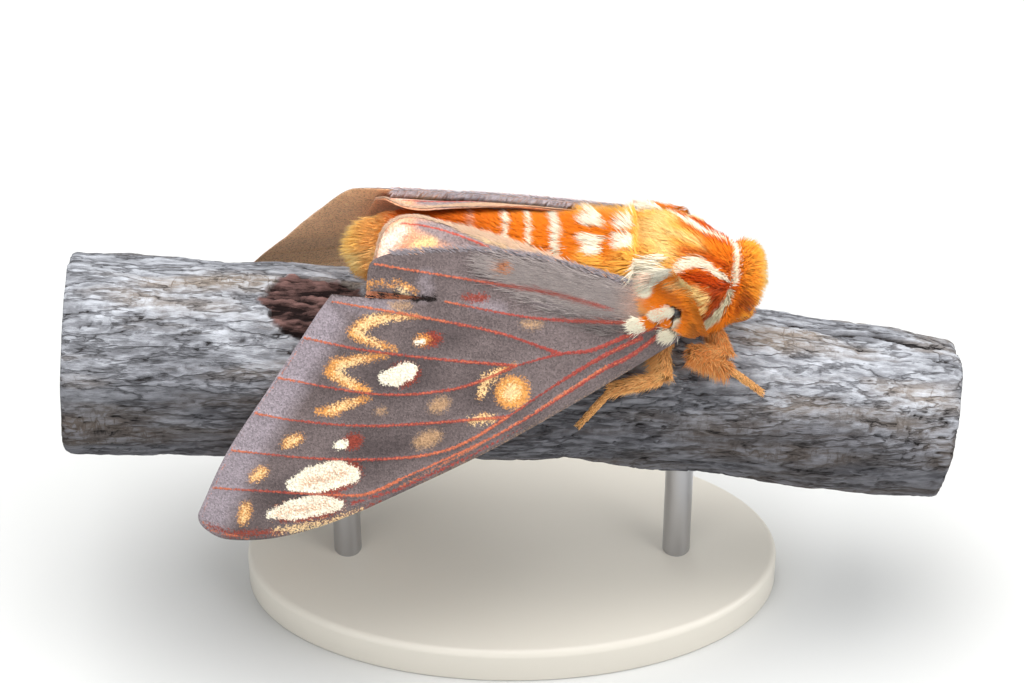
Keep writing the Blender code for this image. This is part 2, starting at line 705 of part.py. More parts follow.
# Locks on the legs: shares along the shin and along the thigh, length, width, and the way they hang
LEG_LOCKS = {
    "front": ((0.12, 0.32, 0.52, 0.72, 0.9), (0.2, 0.6), 1.9, 1.15, (-0.25, -0.5, -0.8)),
    "middle": ((0.1, 0.35, 0.6), (0.5, 0.85), 1.3, 1.0, (-0.75, -0.25, -0.4)),
    "hind": ((0.15, 0.4, 0.65), (0.6,), 1.3, 1.0, (-0.8, -0.2, -0.3)),
}


def leg_locks(kind, side, bones):
    """Flat locks that hang from the shin and the thigh of a leg."""
    *shares, length, width, hang = LEG_LOCKS[kind]
    hang = Vector(mirrored([hang], side)[0]).normalized()
    locks = []
    for (start, end), places in zip(bones, shares):
        bone = (end - start).normalized()
        normal = bone.cross(hang).normalized()
        for share in places:
            root = start.lerp(end, share)
            path = [root - hang * 0.2,
                    root + hang * length * 0.4,
                    root + (hang + bone * 0.1) * length * 0.75,
                    root + (hang + bone * 0.25) * length]
            locks.append(flat_lock(path, [normal] * len(path), width, LEG_LOCK_THICKNESS))
    return locks


def leg_mesh(kind, side):
    """One leg: hip, thigh, shin and a tapering foot with two claws."""
    hip, elbow, knee, ankle, foot = (Vector(p) for p in mirrored(LEG_JOINTS[kind], side))
    hip_radius, thigh_radius, shin_radius = LEG_RADII[kind]
    thigh_radii = [thigh_radius * 0.9, thigh_radius, thigh_radius * 0.7]
    shin_radii = [shin_radius * 0.85, shin_radius, shin_radius * 0.6]
    pieces = [tube([elbow, elbow.lerp(knee, 0.5), knee], thigh_radii),
              tube([knee, knee.lerp(ankle, 0.6), ankle], shin_radii),
              tube([ankle, foot], [TARSUS_RADIUS * 1.2, TARSUS_RADIUS * 0.85])]
    along = (foot - ankle).normalized()
    across = along.cross(Vector((0.0, foot.y, foot.z - branch_axis_z(foot.x)))).normalized()
    for turn in (-1, 1):
        tip = foot + (along + across * 0.7 * turn).normalized() * CLAW_LENGTH
        pieces.append(tube([foot - along * 0.3, tip], [TARSUS_RADIUS * 0.75, 0.12], resolution=0))
    pieces += leg_locks(kind, side, ((knee, ankle), (elbow, knee)))
    return boolean(tube([hip, elbow], [hip_radius, hip_radius * 0.85]), pieces, "UNION")


def build_legs(model):
    """Six legs, cut back under the thorax."""
    for side_name, side in (("right", 1), ("left", -1)):
        for kind in LEG_JOINTS:
            leg = boolean(leg_mesh(kind, side), [thorax_clearance()], "DIFFERENCE")
            hip = mirrored(LEG_JOINTS[kind][:1], side)[0]
            model.add("leg_" + kind + "_" + side_name, leg, "coat", hip)


ANTENNA_PATH = ((24.3, -2.0, 13.4), (24.9, -2.4, 12.0), (24.5, -2.2, 10.7), (23.3, -1.9, 9.8),
                (21.9, -1.8, 9.4))
ANTENNA_RADIUS = 0.36
ANTENNA_TIP_RADIUS = 0.2
ANTENNA_MIDDLE = (22.5, 0.0, 12.5)
RAY_STEP = 0.8
RAY_LENGTH = 1.1
RAY_RADIUS = 0.24
RAY_TIP_RADIUS = 0.08


def feeler_mesh(side):
    """A feeler's shaft with a comb of rays on either side, all but at its end."""
    path = [Vector(point) for point in smooth_run(mirrored(ANTENNA_PATH, side), RAY_STEP)]
    last = len(path) - 1
    taper = (ANTENNA_TIP_RADIUS - ANTENNA_RADIUS) / last
    radii = [ANTENNA_RADIUS + taper * index for index in range(len(path))]
    rays = []
    middle = Vector(ANTENNA_MIDDLE)
    for index in range(2, last - 2):
        along = (path[index + 1] - path[index - 1]).normalized()
        outward = (path[index] - middle).normalized()
        across = along.cross(outward).normalized()
        reach = RAY_LENGTH * (1.0 - 0.5 * index / last)
        for turn in (-1, 1):
            tip = path[index] + (across * turn + along * 0.35) * reach
            rays.append(tube([path[index], tip], [RAY_RADIUS, RAY_TIP_RADIUS], resolution=0))
    return boolean(tube(path, radii, resolution=1), rays, "UNION")


def build_antennae(model):
    """The two feelers, folded down from the face and back under the head."""
    for side_name, side in (("right", 1), ("left", -1)):
        clearance = turned_body(grown(HEAD_CORE, GAP), HEAD_SIDES)
        eye = (EYE_PLACE[0], -EYE_PLACE[1] * side, EYE_PLACE[2])
        socket = ball(eye, EYE_RADIUS + GAP)
        feeler = boolean(feeler_mesh(side), [clearance, socket], "DIFFERENCE")
        model.add("antenna_" + side_name, feeler, "feeler", mirrored(ANTENNA_PATH[:1], side)[0])


def main():
    """Builds every part."""
    model = Model()
    build_stand(model)
    build_body(model)
    build_wings(model)
    build_legs(model)
    build_antennae(model)


main()
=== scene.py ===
"""A life-size museum model of a Citheronia bellavista moth on a short cut length of branch.

The moth grips the branch with its wings roofed over its back. The branch stands on two steel rods
over an oval base. Sizes are in millimetres in the frame of the branch: x runs along it towards the
moth's head, z rises through the moth's back, and y points to the moth's left. A turn is an angle
about the body or the branch, in degrees from its top and positive on the moth's right side.
"""
import logging
import math
from dataclasses import dataclass
from enum import Enum
from functools import partial
from typing import Callable, Sequence

import bpy
import numpy as np
from bpy.types import Material, Node, NodeSocket, NodeTree, Object
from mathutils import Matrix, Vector, noise
from mathutils.geometry import delaunay_2d_cdt
from mathutils.kdtree import KDTree

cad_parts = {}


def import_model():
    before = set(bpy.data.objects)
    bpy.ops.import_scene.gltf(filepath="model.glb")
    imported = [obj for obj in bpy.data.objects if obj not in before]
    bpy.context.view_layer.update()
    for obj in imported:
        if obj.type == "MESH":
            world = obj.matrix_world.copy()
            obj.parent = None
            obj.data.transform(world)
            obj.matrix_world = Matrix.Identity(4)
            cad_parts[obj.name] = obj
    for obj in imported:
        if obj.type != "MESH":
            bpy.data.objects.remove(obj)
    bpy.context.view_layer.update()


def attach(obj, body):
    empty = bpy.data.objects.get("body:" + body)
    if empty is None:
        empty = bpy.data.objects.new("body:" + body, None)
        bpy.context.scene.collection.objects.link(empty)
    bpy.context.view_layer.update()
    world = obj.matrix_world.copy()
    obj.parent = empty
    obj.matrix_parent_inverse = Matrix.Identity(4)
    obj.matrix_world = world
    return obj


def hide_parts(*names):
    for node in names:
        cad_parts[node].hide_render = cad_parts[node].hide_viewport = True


LOG = logging.getLogger("moth")
BODY = "root"
ROOT_HALF = math.sqrt(0.5)
SIDES = {"right": -1, "left": 1}
MM = 0.001
CIRCLE = 2 * math.pi
OUTSIDE = -50.0
GRAIN_SEED = 7

Array = np.ndarray
Points = Sequence[Sequence[float]]
Place = tuple[float, float, float]
Halves = float | Sequence[float]


# Frame and numbers

@dataclass(frozen=True)
class PerchFrame:
    """The frame of the branch, which slopes down towards the moth's head.

    Attributes:
        height: height of its origin over the floor, in millimetres.
        slope: how steeply it goes down along x, in radians.
    """

    height: float = 33.0
    slope: float = math.radians(6.0)

    def to_world(self, places: Array) -> Array:
        """World places in metres of perch places in millimetres."""
        return (self.turned(places) + (0.0, 0.0, self.height)) * MM

    def turned(self, ways: Array) -> Array:
        """Perch directions turned into the world's."""
        cos, sin = math.cos(self.slope), math.sin(self.slope)
        x, y, z = ways[..., 0], ways[..., 1], ways[..., 2]
        return stack(x * cos + z * sin, y, z * cos - x * sin)

    def to_perch(self, places: Array) -> Array:
        """Perch places in millimetres of world places in metres."""
        cos, sin = math.cos(self.slope), math.sin(self.slope)
        x, y, z = (places[..., axis] * 1000.0 for axis in range(3))
        z = z - self.height
        return stack(x * cos - z * sin, y, x * sin + z * cos)


PERCH = PerchFrame()


class Grain:
    """Smooth seeded noise on a lattice that repeats every 64 cells."""

    def __init__(self, seed: int) -> None:
        """Draws the lattice."""
        self.table = np.random.default_rng(seed).uniform(-1.0, 1.0, (64, 64, 64))

    def at(self, places: Array) -> Array:
        """Noise from -1 to 1 at places in lattice cells."""
        cell = np.floor(places).astype(int)
        part = places - cell
        part = part * part * (3.0 - 2.0 * part)
        total = np.zeros(places.shape[:-1])
        for corner in np.ndindex(2, 2, 2):
            share = np.prod(np.where(corner, part, 1.0 - part), axis=-1)
            index = (cell + corner) % 64
            total += share * self.table[index[..., 0], index[..., 1], index[..., 2]]
        return total

    def layered(self, places: Array, layers: int = 3) -> Array:
        """Noise from about -1 to 1 with finer and fainter layers on it."""
        total = np.zeros(places.shape[:-1])
        for layer in range(layers):
            total += self.at(places * 2.03 ** layer + 11.3 * layer) * 0.5 ** layer
        return total / 1.5


def ramp(values: Array, start: float, end: float) -> Array:
    """0 before start, 1 past end, and a smooth step between them."""
    share = np.clip((values - start) / (end - start), 0, 1)
    return share * share * (3.0 - 2.0 * share)


def stack(*parts: Array | float) -> Array:
    """Points or ways from their separate numbers."""
    return np.stack(np.broadcast_arrays(*parts), -1)


def unit(vectors: Array) -> Array:
    """Vectors of length one."""
    return vectors / np.maximum(np.linalg.norm(vectors, axis=-1, keepdims=True), 1e-9)


def tangents(path: Array) -> Array:
    """Directions of a path at its points."""
    return unit(np.gradient(path, axis=0))


def spread_turns(count: int) -> Array:
    """Turns in radians of points that share a circle evenly."""
    return np.arange(count) * 2 * math.pi / count


def wrapped(turn: Array) -> Array:
    """Turns in degrees brought between -180 and 180."""
    return (turn + 180.0) % 360.0 - 180.0


def smooth_run(points: Points, step: float) -> Array:
    """Points about a step apart on a smooth curve through the given ones."""
    given = [np.array(point, float) for point in points]
    last = len(given) - 1
    run = []
    for index in range(last):
        before, start, end = given[max(index - 1, 0)], given[index], given[index + 1]
        after = given[min(index + 2, last)]
        count = max(1, round(float(np.linalg.norm(end - start)) / step))
        for t in np.arange(count) / count:
            run.append(0.5 * (2 * start + (end - before) * t
                              + (2 * before - 5 * start + 4 * end - after) * t * t
                              + (3 * start - before - 3 * end + after) * t ** 3))
    run.append(given[-1])
    return np.array(run)


def stroke_field(places: Array, points: Points, halves: Halves) -> Array:
    """How far places lie inside a painted stroke, negative outside it.

    Args:
        places: flat places, one row each.
        points: the stroke's middle line.
        halves: half its width, the same all along or one number for each point.
    """
    line = np.array(points, float)
    widths = np.broadcast_to(np.array(halves, float), (len(line),))
    if len(line) == 1:
        return widths[0] - np.linalg.norm(places - line[0], axis=-1)
    best = np.full(len(places), -1e3)
    for start, end, first, second in zip(line, line[1:], widths, widths[1:]):
        run = end - start
        share = np.clip((places - start) @ run / max(float(run @ run), 1e-9), 0, 1)
        distance = np.linalg.norm(places - start - share[:, None] * run, axis=-1)
        best = np.maximum(best, first + (second - first) * share - distance)
    return best


# Meshes

def place_object(name: str, data: bpy.types.ID) -> Object:
    """A new object in the scene."""
    obj = bpy.data.objects.new(name, data)
    bpy.context.scene.collection.objects.link(obj)
    return obj


def make_mesh(name: str, places: Array, *polygons: Array, smooth: bool = True) -> Object:
    """A mesh object at the origin.

    Args:
        name: the object's name.
        places: its vertices in perch millimetres.
        polygons: arrays of corner indices, one array for each count of corners.
        smooth: whether its faces are shaded smooth.
    """
    mesh = bpy.data.meshes.new(name)
    mesh.vertices.add(len(places))
    mesh.vertices.foreach_set("co", PERCH.to_world(places).astype(np.float32).ravel())
    corners = np.concatenate([block.ravel() for block in polygons])
    counts = np.concatenate([np.full(len(block), block.shape[1]) for block in polygons])
    mesh.loops.add(len(corners))
    mesh.loops.foreach_set("vertex_index", corners.astype(np.int32))
    mesh.polygons.add(len(counts))
    mesh.polygons.foreach_set("loop_start", (np.cumsum(counts) - counts).astype(np.int32))
    mesh.polygons.foreach_set("use_smooth", np.full(len(counts), smooth))
    mesh.update(calc_edges=True)
    return place_object(name, mesh)


def settle(obj: Object) -> None:
    """Gives an object the mesh that its modifiers make, without them."""
    graph = bpy.context.evaluated_depsgraph_get()
    mesh = bpy.data.meshes.new_from_object(obj.evaluated_get(graph))
    obj.modifiers.clear()
    obj.data = mesh


def paint(obj: Object, name: str, values: Array) -> None:
    """Stores a number or a linear colour for each vertex."""
    if values.ndim == 1:
        layer = obj.data.attributes.new(name, "FLOAT", "POINT")
        layer.data.foreach_set("value", values.astype(np.float32))
        return
    layer = obj.data.color_attributes.new(name, "FLOAT_COLOR", "POINT")
    opaque = np.concatenate((values, np.ones((len(values), 1))), axis=1)
    layer.data.foreach_set("color", opaque.astype(np.float32).ravel())


def dress(obj: Object, material: Material, slot: str, *nodes: str) -> None:
    """Gives a finished piece its material and body, and hides the nodes that it stands for."""
    if not obj.data.materials:
        obj.data.materials.append(material)
    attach(obj, BODY)
    if nodes:
        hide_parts(*nodes)
    faces = sum(len(face.vertices) - 2 for face in obj.data.polygons)
    LOG.info("%s: %d triangles", obj.name, faces)


def lathe_rings(path: Array, rings: Array) -> tuple[Array, Array, Array]:
    """Vertices, side quads and end fans of a closed tube.

    Args:
        path: the middle of each ring, used for the two ends.
        rings: ring points, first index along the tube, turning to the right along it.

    Returns:
        The vertices, the four-cornered faces and the three-cornered ones.
    """
    rows, count = rings.shape[:2]
    places = np.concatenate((rings.reshape(-1, 3), path[:1], path[-1:]))
    row, column = np.meshgrid(np.arange(rows - 1), np.arange(count), indexing="ij")
    after = (column + 1) % count
    first, second = row * count, (row + 1) * count
    quads = stack(first + column, first + after, second + after, second + column).reshape(-1, 4)
    index = np.arange(count)
    following = (index + 1) % count
    low = stack(following, index, np.full(count, rows * count))
    top = (rows - 1) * count
    high = stack(top + index, top + following, np.full(count, rows * count + 1))
    return places, quads, np.concatenate((low, high))


def tube(path: Array, radii: Array, sides: int) -> tuple[Array, Array, Array]:
    """A closed round tube along a path, as lathe_rings gives it."""
    tangent = tangents(path)
    guide = np.array((0.13, 0.21, 0.97)) if abs(tangent[0, 2]) < 0.9 else np.array((0.97, 0.2, 0.1))
    across = unit(np.cross(np.broadcast_to(guide, tangent.shape), tangent))
    upward = np.cross(tangent, across)
    turns = spread_turns(sides)[None, :, None]
    spokes = across[:, None] * np.cos(turns) + upward[:, None] * np.sin(turns)
    return lathe_rings(path, path[:, None] + spokes * np.asarray(radii)[:, None, None])


def join(blocks: Sequence[tuple[Array, ...]]) -> list[Array]:
    """Joins (vertices, quads, triangles) blocks into one."""
    moved = []
    count = 0
    for places, quads, fans in blocks:
        moved.append((places, quads + count, fans + count))
        count += len(places)
    return [np.concatenate(parts) for parts in zip(*moved)]


# Finishes

def linear(colour: str) -> tuple[float, float, float]:
    """Linear red, green and blue of an sRGB hex colour."""
    parts = [int(colour[index:index + 2], 16) / 255.0 for index in (1, 3, 5)]
    return tuple(p / 12.92 if p <= 0.04045 else ((p + 0.055) / 1.055) ** 2.4 for p in parts)


def add_node(tree: NodeTree, kind: str, inputs: dict | None = None, **settings: object) -> Node:
    """Adds a node with its settings, values and links.

    Args:
        tree: the shader or geometry tree.
        kind: the node's type name, where a shader node's goes without ShaderNode.
        inputs: for each input, by name or number, a value, a hex colour, or a node or output to link.
        settings: properties of the node itself.

    Returns:
        The new node.
    """
    node = tree.nodes.new(kind if "Node" in kind else "ShaderNode" + kind)
    for name, value in settings.items():
        setattr(node, name, value)
    for key, value in (inputs or {}).items():
        if isinstance(value, Node):
            value = next(socket for socket in value.outputs if socket.enabled)
        if isinstance(value, NodeSocket):
            tree.links.new(value, node.inputs[key])
        elif isinstance(value, str) and value.startswith("#"):
            node.inputs[key].default_value = (*linear(value), 1.0)
        else:
            node.inputs[key].default_value = value
    return node


def new_material(name: str) -> tuple[Material, Callable[..., Node]]:
    """An empty material, and add_node for its tree."""
    material = bpy.data.materials.new(name)
    material.use_nodes = True
    material.node_tree.nodes.clear()
    return material, partial(add_node, material.node_tree)


def finish_material(material: Material, inputs: dict) -> Material:
    """Ends a material in one shader with these inputs."""
    shader = add_node(material.node_tree, "BsdfPrincipled", inputs)
    add_node(material.node_tree, "OutputMaterial", {"Surface": shader})
    return material


@dataclass(frozen=True)
class SoftHair:
    """Chitin hair: soft and matt, each hair darker at its root by painted shade and lighter at its tip by
    painted light, with a faint shine along it.
    """

    name: str = "moth_hair_chitin"
    roughness: float = 0.6
    sheen: float = 0.04

    def build(self) -> Material:
        """The material, coloured by each hair's own tone."""
        material, add = new_material(self.name)
        tone = add("Attribute", attribute_name="coat_tone")
        return finish_material(material, {
            "Base Color": tone, "Roughness": self.roughness, "Sheen Weight": self.sheen,
            "Sheen Roughness": 0.4, "Specular IOR Level": 0.15})


@dataclass(frozen=True)
class DownySkin:
    """Cuticle under short down: matt, with a fine nap about 0.15 mm across that shows between hairs."""

    name: str = "moth_cuticle_downy"
    nap: float = 6500.0

    def build(self) -> Material:
        """The material, with the same markings as the hair over it."""
        material, add = new_material(self.name)
        tone = add("Attribute", attribute_name="coat_tone")
        place = add("TexCoord").outputs["Object"]
        down = add("TexNoise", {"Vector": place, "Scale": self.nap, "Detail": 2.0})
        shade = add("MapRange", {"Value": down, "From Min": 0.3, "From Max": 0.7,
                                 "To Min": 0.7, "To Max": 1.05})
        worn = add("Mix", {0: 1.0, 6: tone, 7: shade}, data_type="RGBA", blend_type="MULTIPLY")
        bump = add("Bump", {"Strength": 0.6, "Distance": 0.0002, "Height": down})
        return finish_material(material, {
            "Base Color": worn, "Roughness": 0.8, "Specular IOR Level": 0.2, "Normal": bump})


class Mark(Enum):
    """Kinds of marking on a wing, painted in this order."""

    PALE = "wing_pale"
    GREY = "wing_grey"
    HAZE = "wing_haze"
    RUST = "wing_rust"
    ORANGE = "wing_orange"
    SPECK = "wing_speck"
    CREAM = "wing_cream"
    FLECK = "wing_fleck"
    VEIN = "wing_vein"
    EMBER = "wing_ember"
    # Painted shade along the slit of a tear
    TEAR_SHADE = "wing_tear_shade"


@dataclass(frozen=True)
class ScaledWing:
    """Wing scales: dry, matt and laid like tiles, so colours end in a fine ragged edge.

    They are drawn a little coarser than their 0.12 mm, so that they show.

    Attributes:
        ground: colours that the wing's ground drifts between.
        under: colour of the underside; the forewing's is painted light, much paler than its own rust-brown,
            standing in for light through the thin wing.
        tones: colour, edge softness and raggedness in millimetres, and strength of each marking.
    """

    name: str
    ground: tuple[str, str]
    under: str
    tones: dict[Mark, tuple[str, float, float, float]]
    scale: float = 6200.0

    def build(self) -> Material:
        """The material, with its markings read from the wing's own fields."""
        material, add = new_material(self.name)
        place = add("TexCoord").outputs["Object"]
        tiles = add("TexVoronoi", {"Vector": place, "Scale": self.scale})
        fray = add("TexNoise", {"Vector": place, "Scale": 5200.0, "Detail": 1.0})
        drift = add("TexNoise", {"Vector": place, "Scale": 160.0, "Detail": 3.0})
        ragged = add("Math", {0: fray, 1: 0.5}, operation="SUBTRACT")
        share = add("MapRange", {"Value": drift, "From Min": 0.35, "From Max": 0.65})
        tone = add("Mix", {0: share, 6: self.ground[0], 7: self.ground[1]}, data_type="RGBA")
        for mark, (colour, soft, rough, strength) in self.tones.items():
            inside = add("Attribute", attribute_name=mark.value).outputs["Fac"]
            edge = add("Math", {0: ragged, 1: rough * 4.0, 2: inside}, operation="MULTIPLY_ADD")
            mask = add("MapRange", {"Value": edge, "From Min": -soft, "From Max": soft, "To Max": strength})
            tone = add("Mix", {0: mask, 6: tone, 7: colour}, data_type="RGBA")
        # The underside's colour, which for the forewing is painted light
        below = add("Attribute", attribute_name="wing_under").outputs["Fac"]
        faded = add("Math", {0: below, 1: 0.97}, operation="MULTIPLY")
        tone = add("Mix", {0: faded, 6: tone, 7: self.under}, data_type="RGBA")
        speck = add("MapRange", {"Value": tiles.outputs["Color"], "To Min": 0.6, "To Max": 1.35})
        tone = add("Mix", {0: 1.0, 6: tone, 7: speck}, data_type="RGBA", blend_type="MULTIPLY")
        relief = add("Math", {0: tiles, 1: fray}, operation="ADD")
        bump = add("Bump", {"Strength": 0.35, "Distance": 0.0001, "Height": relief})
        return finish_material(material, {
            "Base Color": tone, "Roughness": 0.72, "Specular IOR Level": 0.25, "Sheen Weight": 0.08,
            "Normal": bump})


@dataclass(frozen=True)
class WeatheredBark:
    """Dry grey bark: chalky ridges, dark cracks and a torn scar of red-brown inner bark. Painted shade
    deepens the cracks and the scar's hollows, and darkens the bark towards the branch's sides and
    underside.
    """

    name: str = "bark_weathered"
    ridge: str = "#D6D9E0"
    body: str = "#86878C"
    # Near black of the cracks: their own dark, deepened with painted shade
    crack: str = "#2E2A2A"
    warm: str = "#A08F7D"
    scar: str = "#94706A"
    # Near black of the scar's deepest parts: partly painted shade in its hollows
    scar_pit_shade: str = "#1E1110"
    # Painted shade: the colour multiplied into the bark towards the branch's sides and underside
    underside_shade: str = "#979597"

    def build(self) -> Material:
        """The material, led by the branch's own relief."""
        material, add = new_material(self.name)
        place = add("TexCoord").outputs["Object"]
        level = (0.0, -PERCH.slope, 0.0)
        along = add("Mapping", {"Vector": place, "Rotation": level, "Scale": (0.2, 1.0, 1.0)})
        around = add("Mapping", {"Vector": place, "Rotation": level, "Scale": (1.0, 0.35, 0.35)})
        fibre = add("TexNoise", {"Vector": along, "Scale": 1700.0, "Detail": 5.0, "Roughness": 0.72})
        patch = add("TexNoise", {"Vector": along, "Scale": 230.0, "Detail": 3.0})
        lines = []
        for way, size, wide in ((along, 520.0, 0.04), (around, 300.0, 0.025)):
            wave = add("TexNoise", {"Vector": way, "Scale": size, "Detail": 4.0, "Roughness": 0.62})
            off = add("Math", {0: wave, 1: 0.5}, operation="SUBTRACT")
            off = add("Math", {0: off}, operation="ABSOLUTE")
            lines.append(add("MapRange", {"Value": off, "From Min": wide, "From Max": 0.0}))
        crossing, brown = (
            add("MapRange", {"Value": patch, "From Min": low, "From Max": high, "To Max": most})
            for low, high, most in ((0.52, 0.68, 0.55), (0.48, 0.7, 0.7)))
        some = add("Math", {0: lines[1], 1: crossing}, operation="MULTIPLY")
        split = add("Math", {0: lines[0], 1: some}, operation="MAXIMUM")
        torn, height, underside_shade = (add("Attribute", attribute_name=label).outputs["Fac"]
                              for label in ("bark_scar", "bark_height", "bark_underside_shade"))
        whole = add("Math", {0: -0.32, 1: torn, 2: 0.32}, operation="MULTIPLY_ADD")
        carved = add("Math", {0: split, 1: whole}, operation="MULTIPLY")
        rough = add("Math", {0: fibre, 1: carved}, operation="SUBTRACT")
        worn = add("Math", {0: rough, 1: 1.6, 2: height}, operation="MULTIPLY_ADD")
        # Light ridges and near-black cracks by height; the near black of the cracks and of the scar's
        # deepest parts is partly painted shade in those hollows
        light, dark, deep = (add("MapRange", {"Value": worn, "From Min": low, "From Max": high})
                             for low, high in ((1.15, 1.8), (1.05, 0.5), (1.1, 2.0)))
        tone = add("Mix", {0: brown, 6: self.body, 7: self.warm}, data_type="RGBA")
        inner = add("Mix", {0: deep, 6: self.scar_pit_shade, 7: self.scar}, data_type="RGBA")
        for mask, colour in ((light, self.ridge), (dark, self.crack), (torn, inner)):
            tone = add("Mix", {0: mask, 6: tone, 7: colour}, data_type="RGBA")
        # Painted shade: darker towards the branch's sides and underside
        tone = add("Mix", {0: underside_shade, 6: tone, 7: self.underside_shade}, data_type="RGBA", blend_type="MULTIPLY")
        bump = add("Bump", {"Strength": 1.0, "Distance": 0.0005, "Height": rough})
        return finish_material(material, {
            "Base Color": tone, "Roughness": 0.88, "Specular IOR Level": 0.2, "Normal": bump})


@dataclass(frozen=True)
class SawnEnd:
    """Sawn dry wood: pale and matt, with year rings about 1 mm apart and a dark rim of bark."""

    name: str = "branch_end_sawn"
    early: str = "#CBB08A"
    late: str = "#9A7A56"
    bark: str = "#5C504A"

    def build(self) -> Material:
        """The material, ringed by the distance from the pith."""
        material, add = new_material(self.name)
        place = add("TexCoord").outputs["Object"]
        pith = add("Attribute", attribute_name="pith_distance").outputs["Fac"]
        pores = add("TexNoise", {"Vector": place, "Scale": 4200.0, "Detail": 3.0})
        wobble = add("TexNoise", {"Vector": place, "Scale": 260.0})
        bent = add("Math", {0: wobble, 1: 0.9, 2: pith}, operation="MULTIPLY_ADD")
        turn = add("Math", {0: bent, 1: CIRCLE}, operation="MULTIPLY")
        wave = add("Math", {0: turn}, operation="SINE")
        ring = add("MapRange", {"Value": wave, "From Min": 0.2})
        rim = add("MapRange", {"Value": pith, "From Min": 7.6, "From Max": 8.0})
        tone = add("Mix", {0: ring, 6: self.early, 7: self.late}, data_type="RGBA")
        tone = add("Mix", {0: rim, 6: tone, 7: self.bark}, data_type="RGBA")
        bump = add("Bump", {"Strength": 0.5, "Distance": 0.0001, "Height": pores})
        return finish_material(material, {
            "Base Color": tone, "Roughness": 0.8, "Specular IOR Level": 0.2, "Normal": bump})


@dataclass(frozen=True)
class PlainFinish:
    """A finish of one colour with a fine grain in its relief.

    Attributes:
        name: the real material and how its surface was made.
        colour: its sRGB colour.
        roughness: how matt it is.
        metallic: 1 for bare metal.
        coat: strength of a clear layer over it.
        grain: size of its relief in metres, 0 for none.
        strength: how strongly the relief shows.
        stretch: how the relief is drawn out along each axis.
    """

    name: str
    colour: str
    roughness: float
    metallic: float = 0.0
    coat: float = 0.0
    grain: float = 0.0
    strength: float = 0.3
    stretch: Place = (1.0, 1.0, 1.0)

    def build(self) -> Material:
        """The material."""
        material, add = new_material(self.name)
        inputs = {"Base Color": self.colour, "Roughness": self.roughness, "Metallic": self.metallic,
                  "Coat Weight": self.coat, "Coat Roughness": 0.15}
        if self.grain:
            place = add("TexCoord").outputs["Object"]
            drawn = add("Mapping", {"Vector": place, "Scale": self.stretch})
            relief = add("TexNoise", {"Vector": drawn, "Scale": 1.0 / self.grain, "Detail": 2.0})
            inputs["Normal"] = add("Bump", {
                "Strength": self.strength, "Distance": self.grain * 0.3, "Height": relief})
        return finish_material(material, inputs)


# Facetted eye: a dark glossy dome whose facets, drawn 0.06 mm wide, break up its shine
EYE_FINISH = PlainFinish("insect_eye_facetted", "#1B0F0A", 0.22, coat=0.4, grain=0.00006)
# Chitin of claws, spurs and the wing hinge: near black, smooth and shiny like horn
HORN_FINISH = PlainFinish("chitin_polished_dark", "#1A1210", 0.25, coat=0.5)
# Feeler's bare shaft and rays: matt tan-orange chitin with a soft bloom
FEELER_FINISH = PlainFinish("feeler_chitin_matt", "#A8622E", 0.55, grain=0.00008)
# Lacquered beech for the base: pale, satin, with a pore relief too fine to see as lines
BASE_FINISH = PlainFinish("beech_lacquered_pale", "#D8D2C6", 0.42, coat=0.2, grain=0.0004,
                          strength=0.05, stretch=(0.15, 1.0, 1.0))
# Stainless steel rods, brushed round their length, so the shine runs along them in a soft band
ROD_FINISH = PlainFinish("stainless_steel_brushed", "#B9B9BC", 0.32, metallic=1.0, grain=0.00012,
                         strength=0.15, stretch=(0.3, 0.3, 3.0))
# Matt studio paint for the floor: pale and even
FLOOR_FINISH = PlainFinish("studio_floor_matt", "#CFCFCD", 0.9)


# Coat

TONES = {name: np.array(linear(colour)) for name, colour in {
    "orange": "#F58A1E", "deep": "#C84A06", "ember": "#B04618", "amber": "#FDBE55", "straw": "#FCDC94",
    "cream": "#FCF4DE", "brown": "#A05A26", "smoke": "#B3A7A3", "blush": "#EDB89C", "soot": "#120D0C",
    "tan": "#F0AC68", "leather": "#E28A44", "moss": "#DCD2B2", "mauve": "#A89FA3",
    # The palest mauve is the forewing rim hair's mauve painted lighter, as painted light for the far wing,
    # which lies in shade
    "mauve_painted_light": "#F2E9EE", "flame": "#FFAA36", "rust": "#B4503E",
}.items()}


def tint(tones: Array, name: str, share: Array) -> Array:
    """Colours moved by a share towards a named one."""
    return tones + (TONES[name] - tones) * share[..., None]


@dataclass
class HairLie:
    """How a batch of hairs lies.

    Attributes:
        middles: middle line of each hair from root to tip, indexed hair, step.
        normals: direction away from the skin at each step.
        widths: width of each hair.
        tones: linear colour of each hair.
        roots: place of each root on the skin's unwrap, from 0 to 1.
    """

    middles: Array
    normals: Array
    widths: Array
    tones: Array
    roots: Array


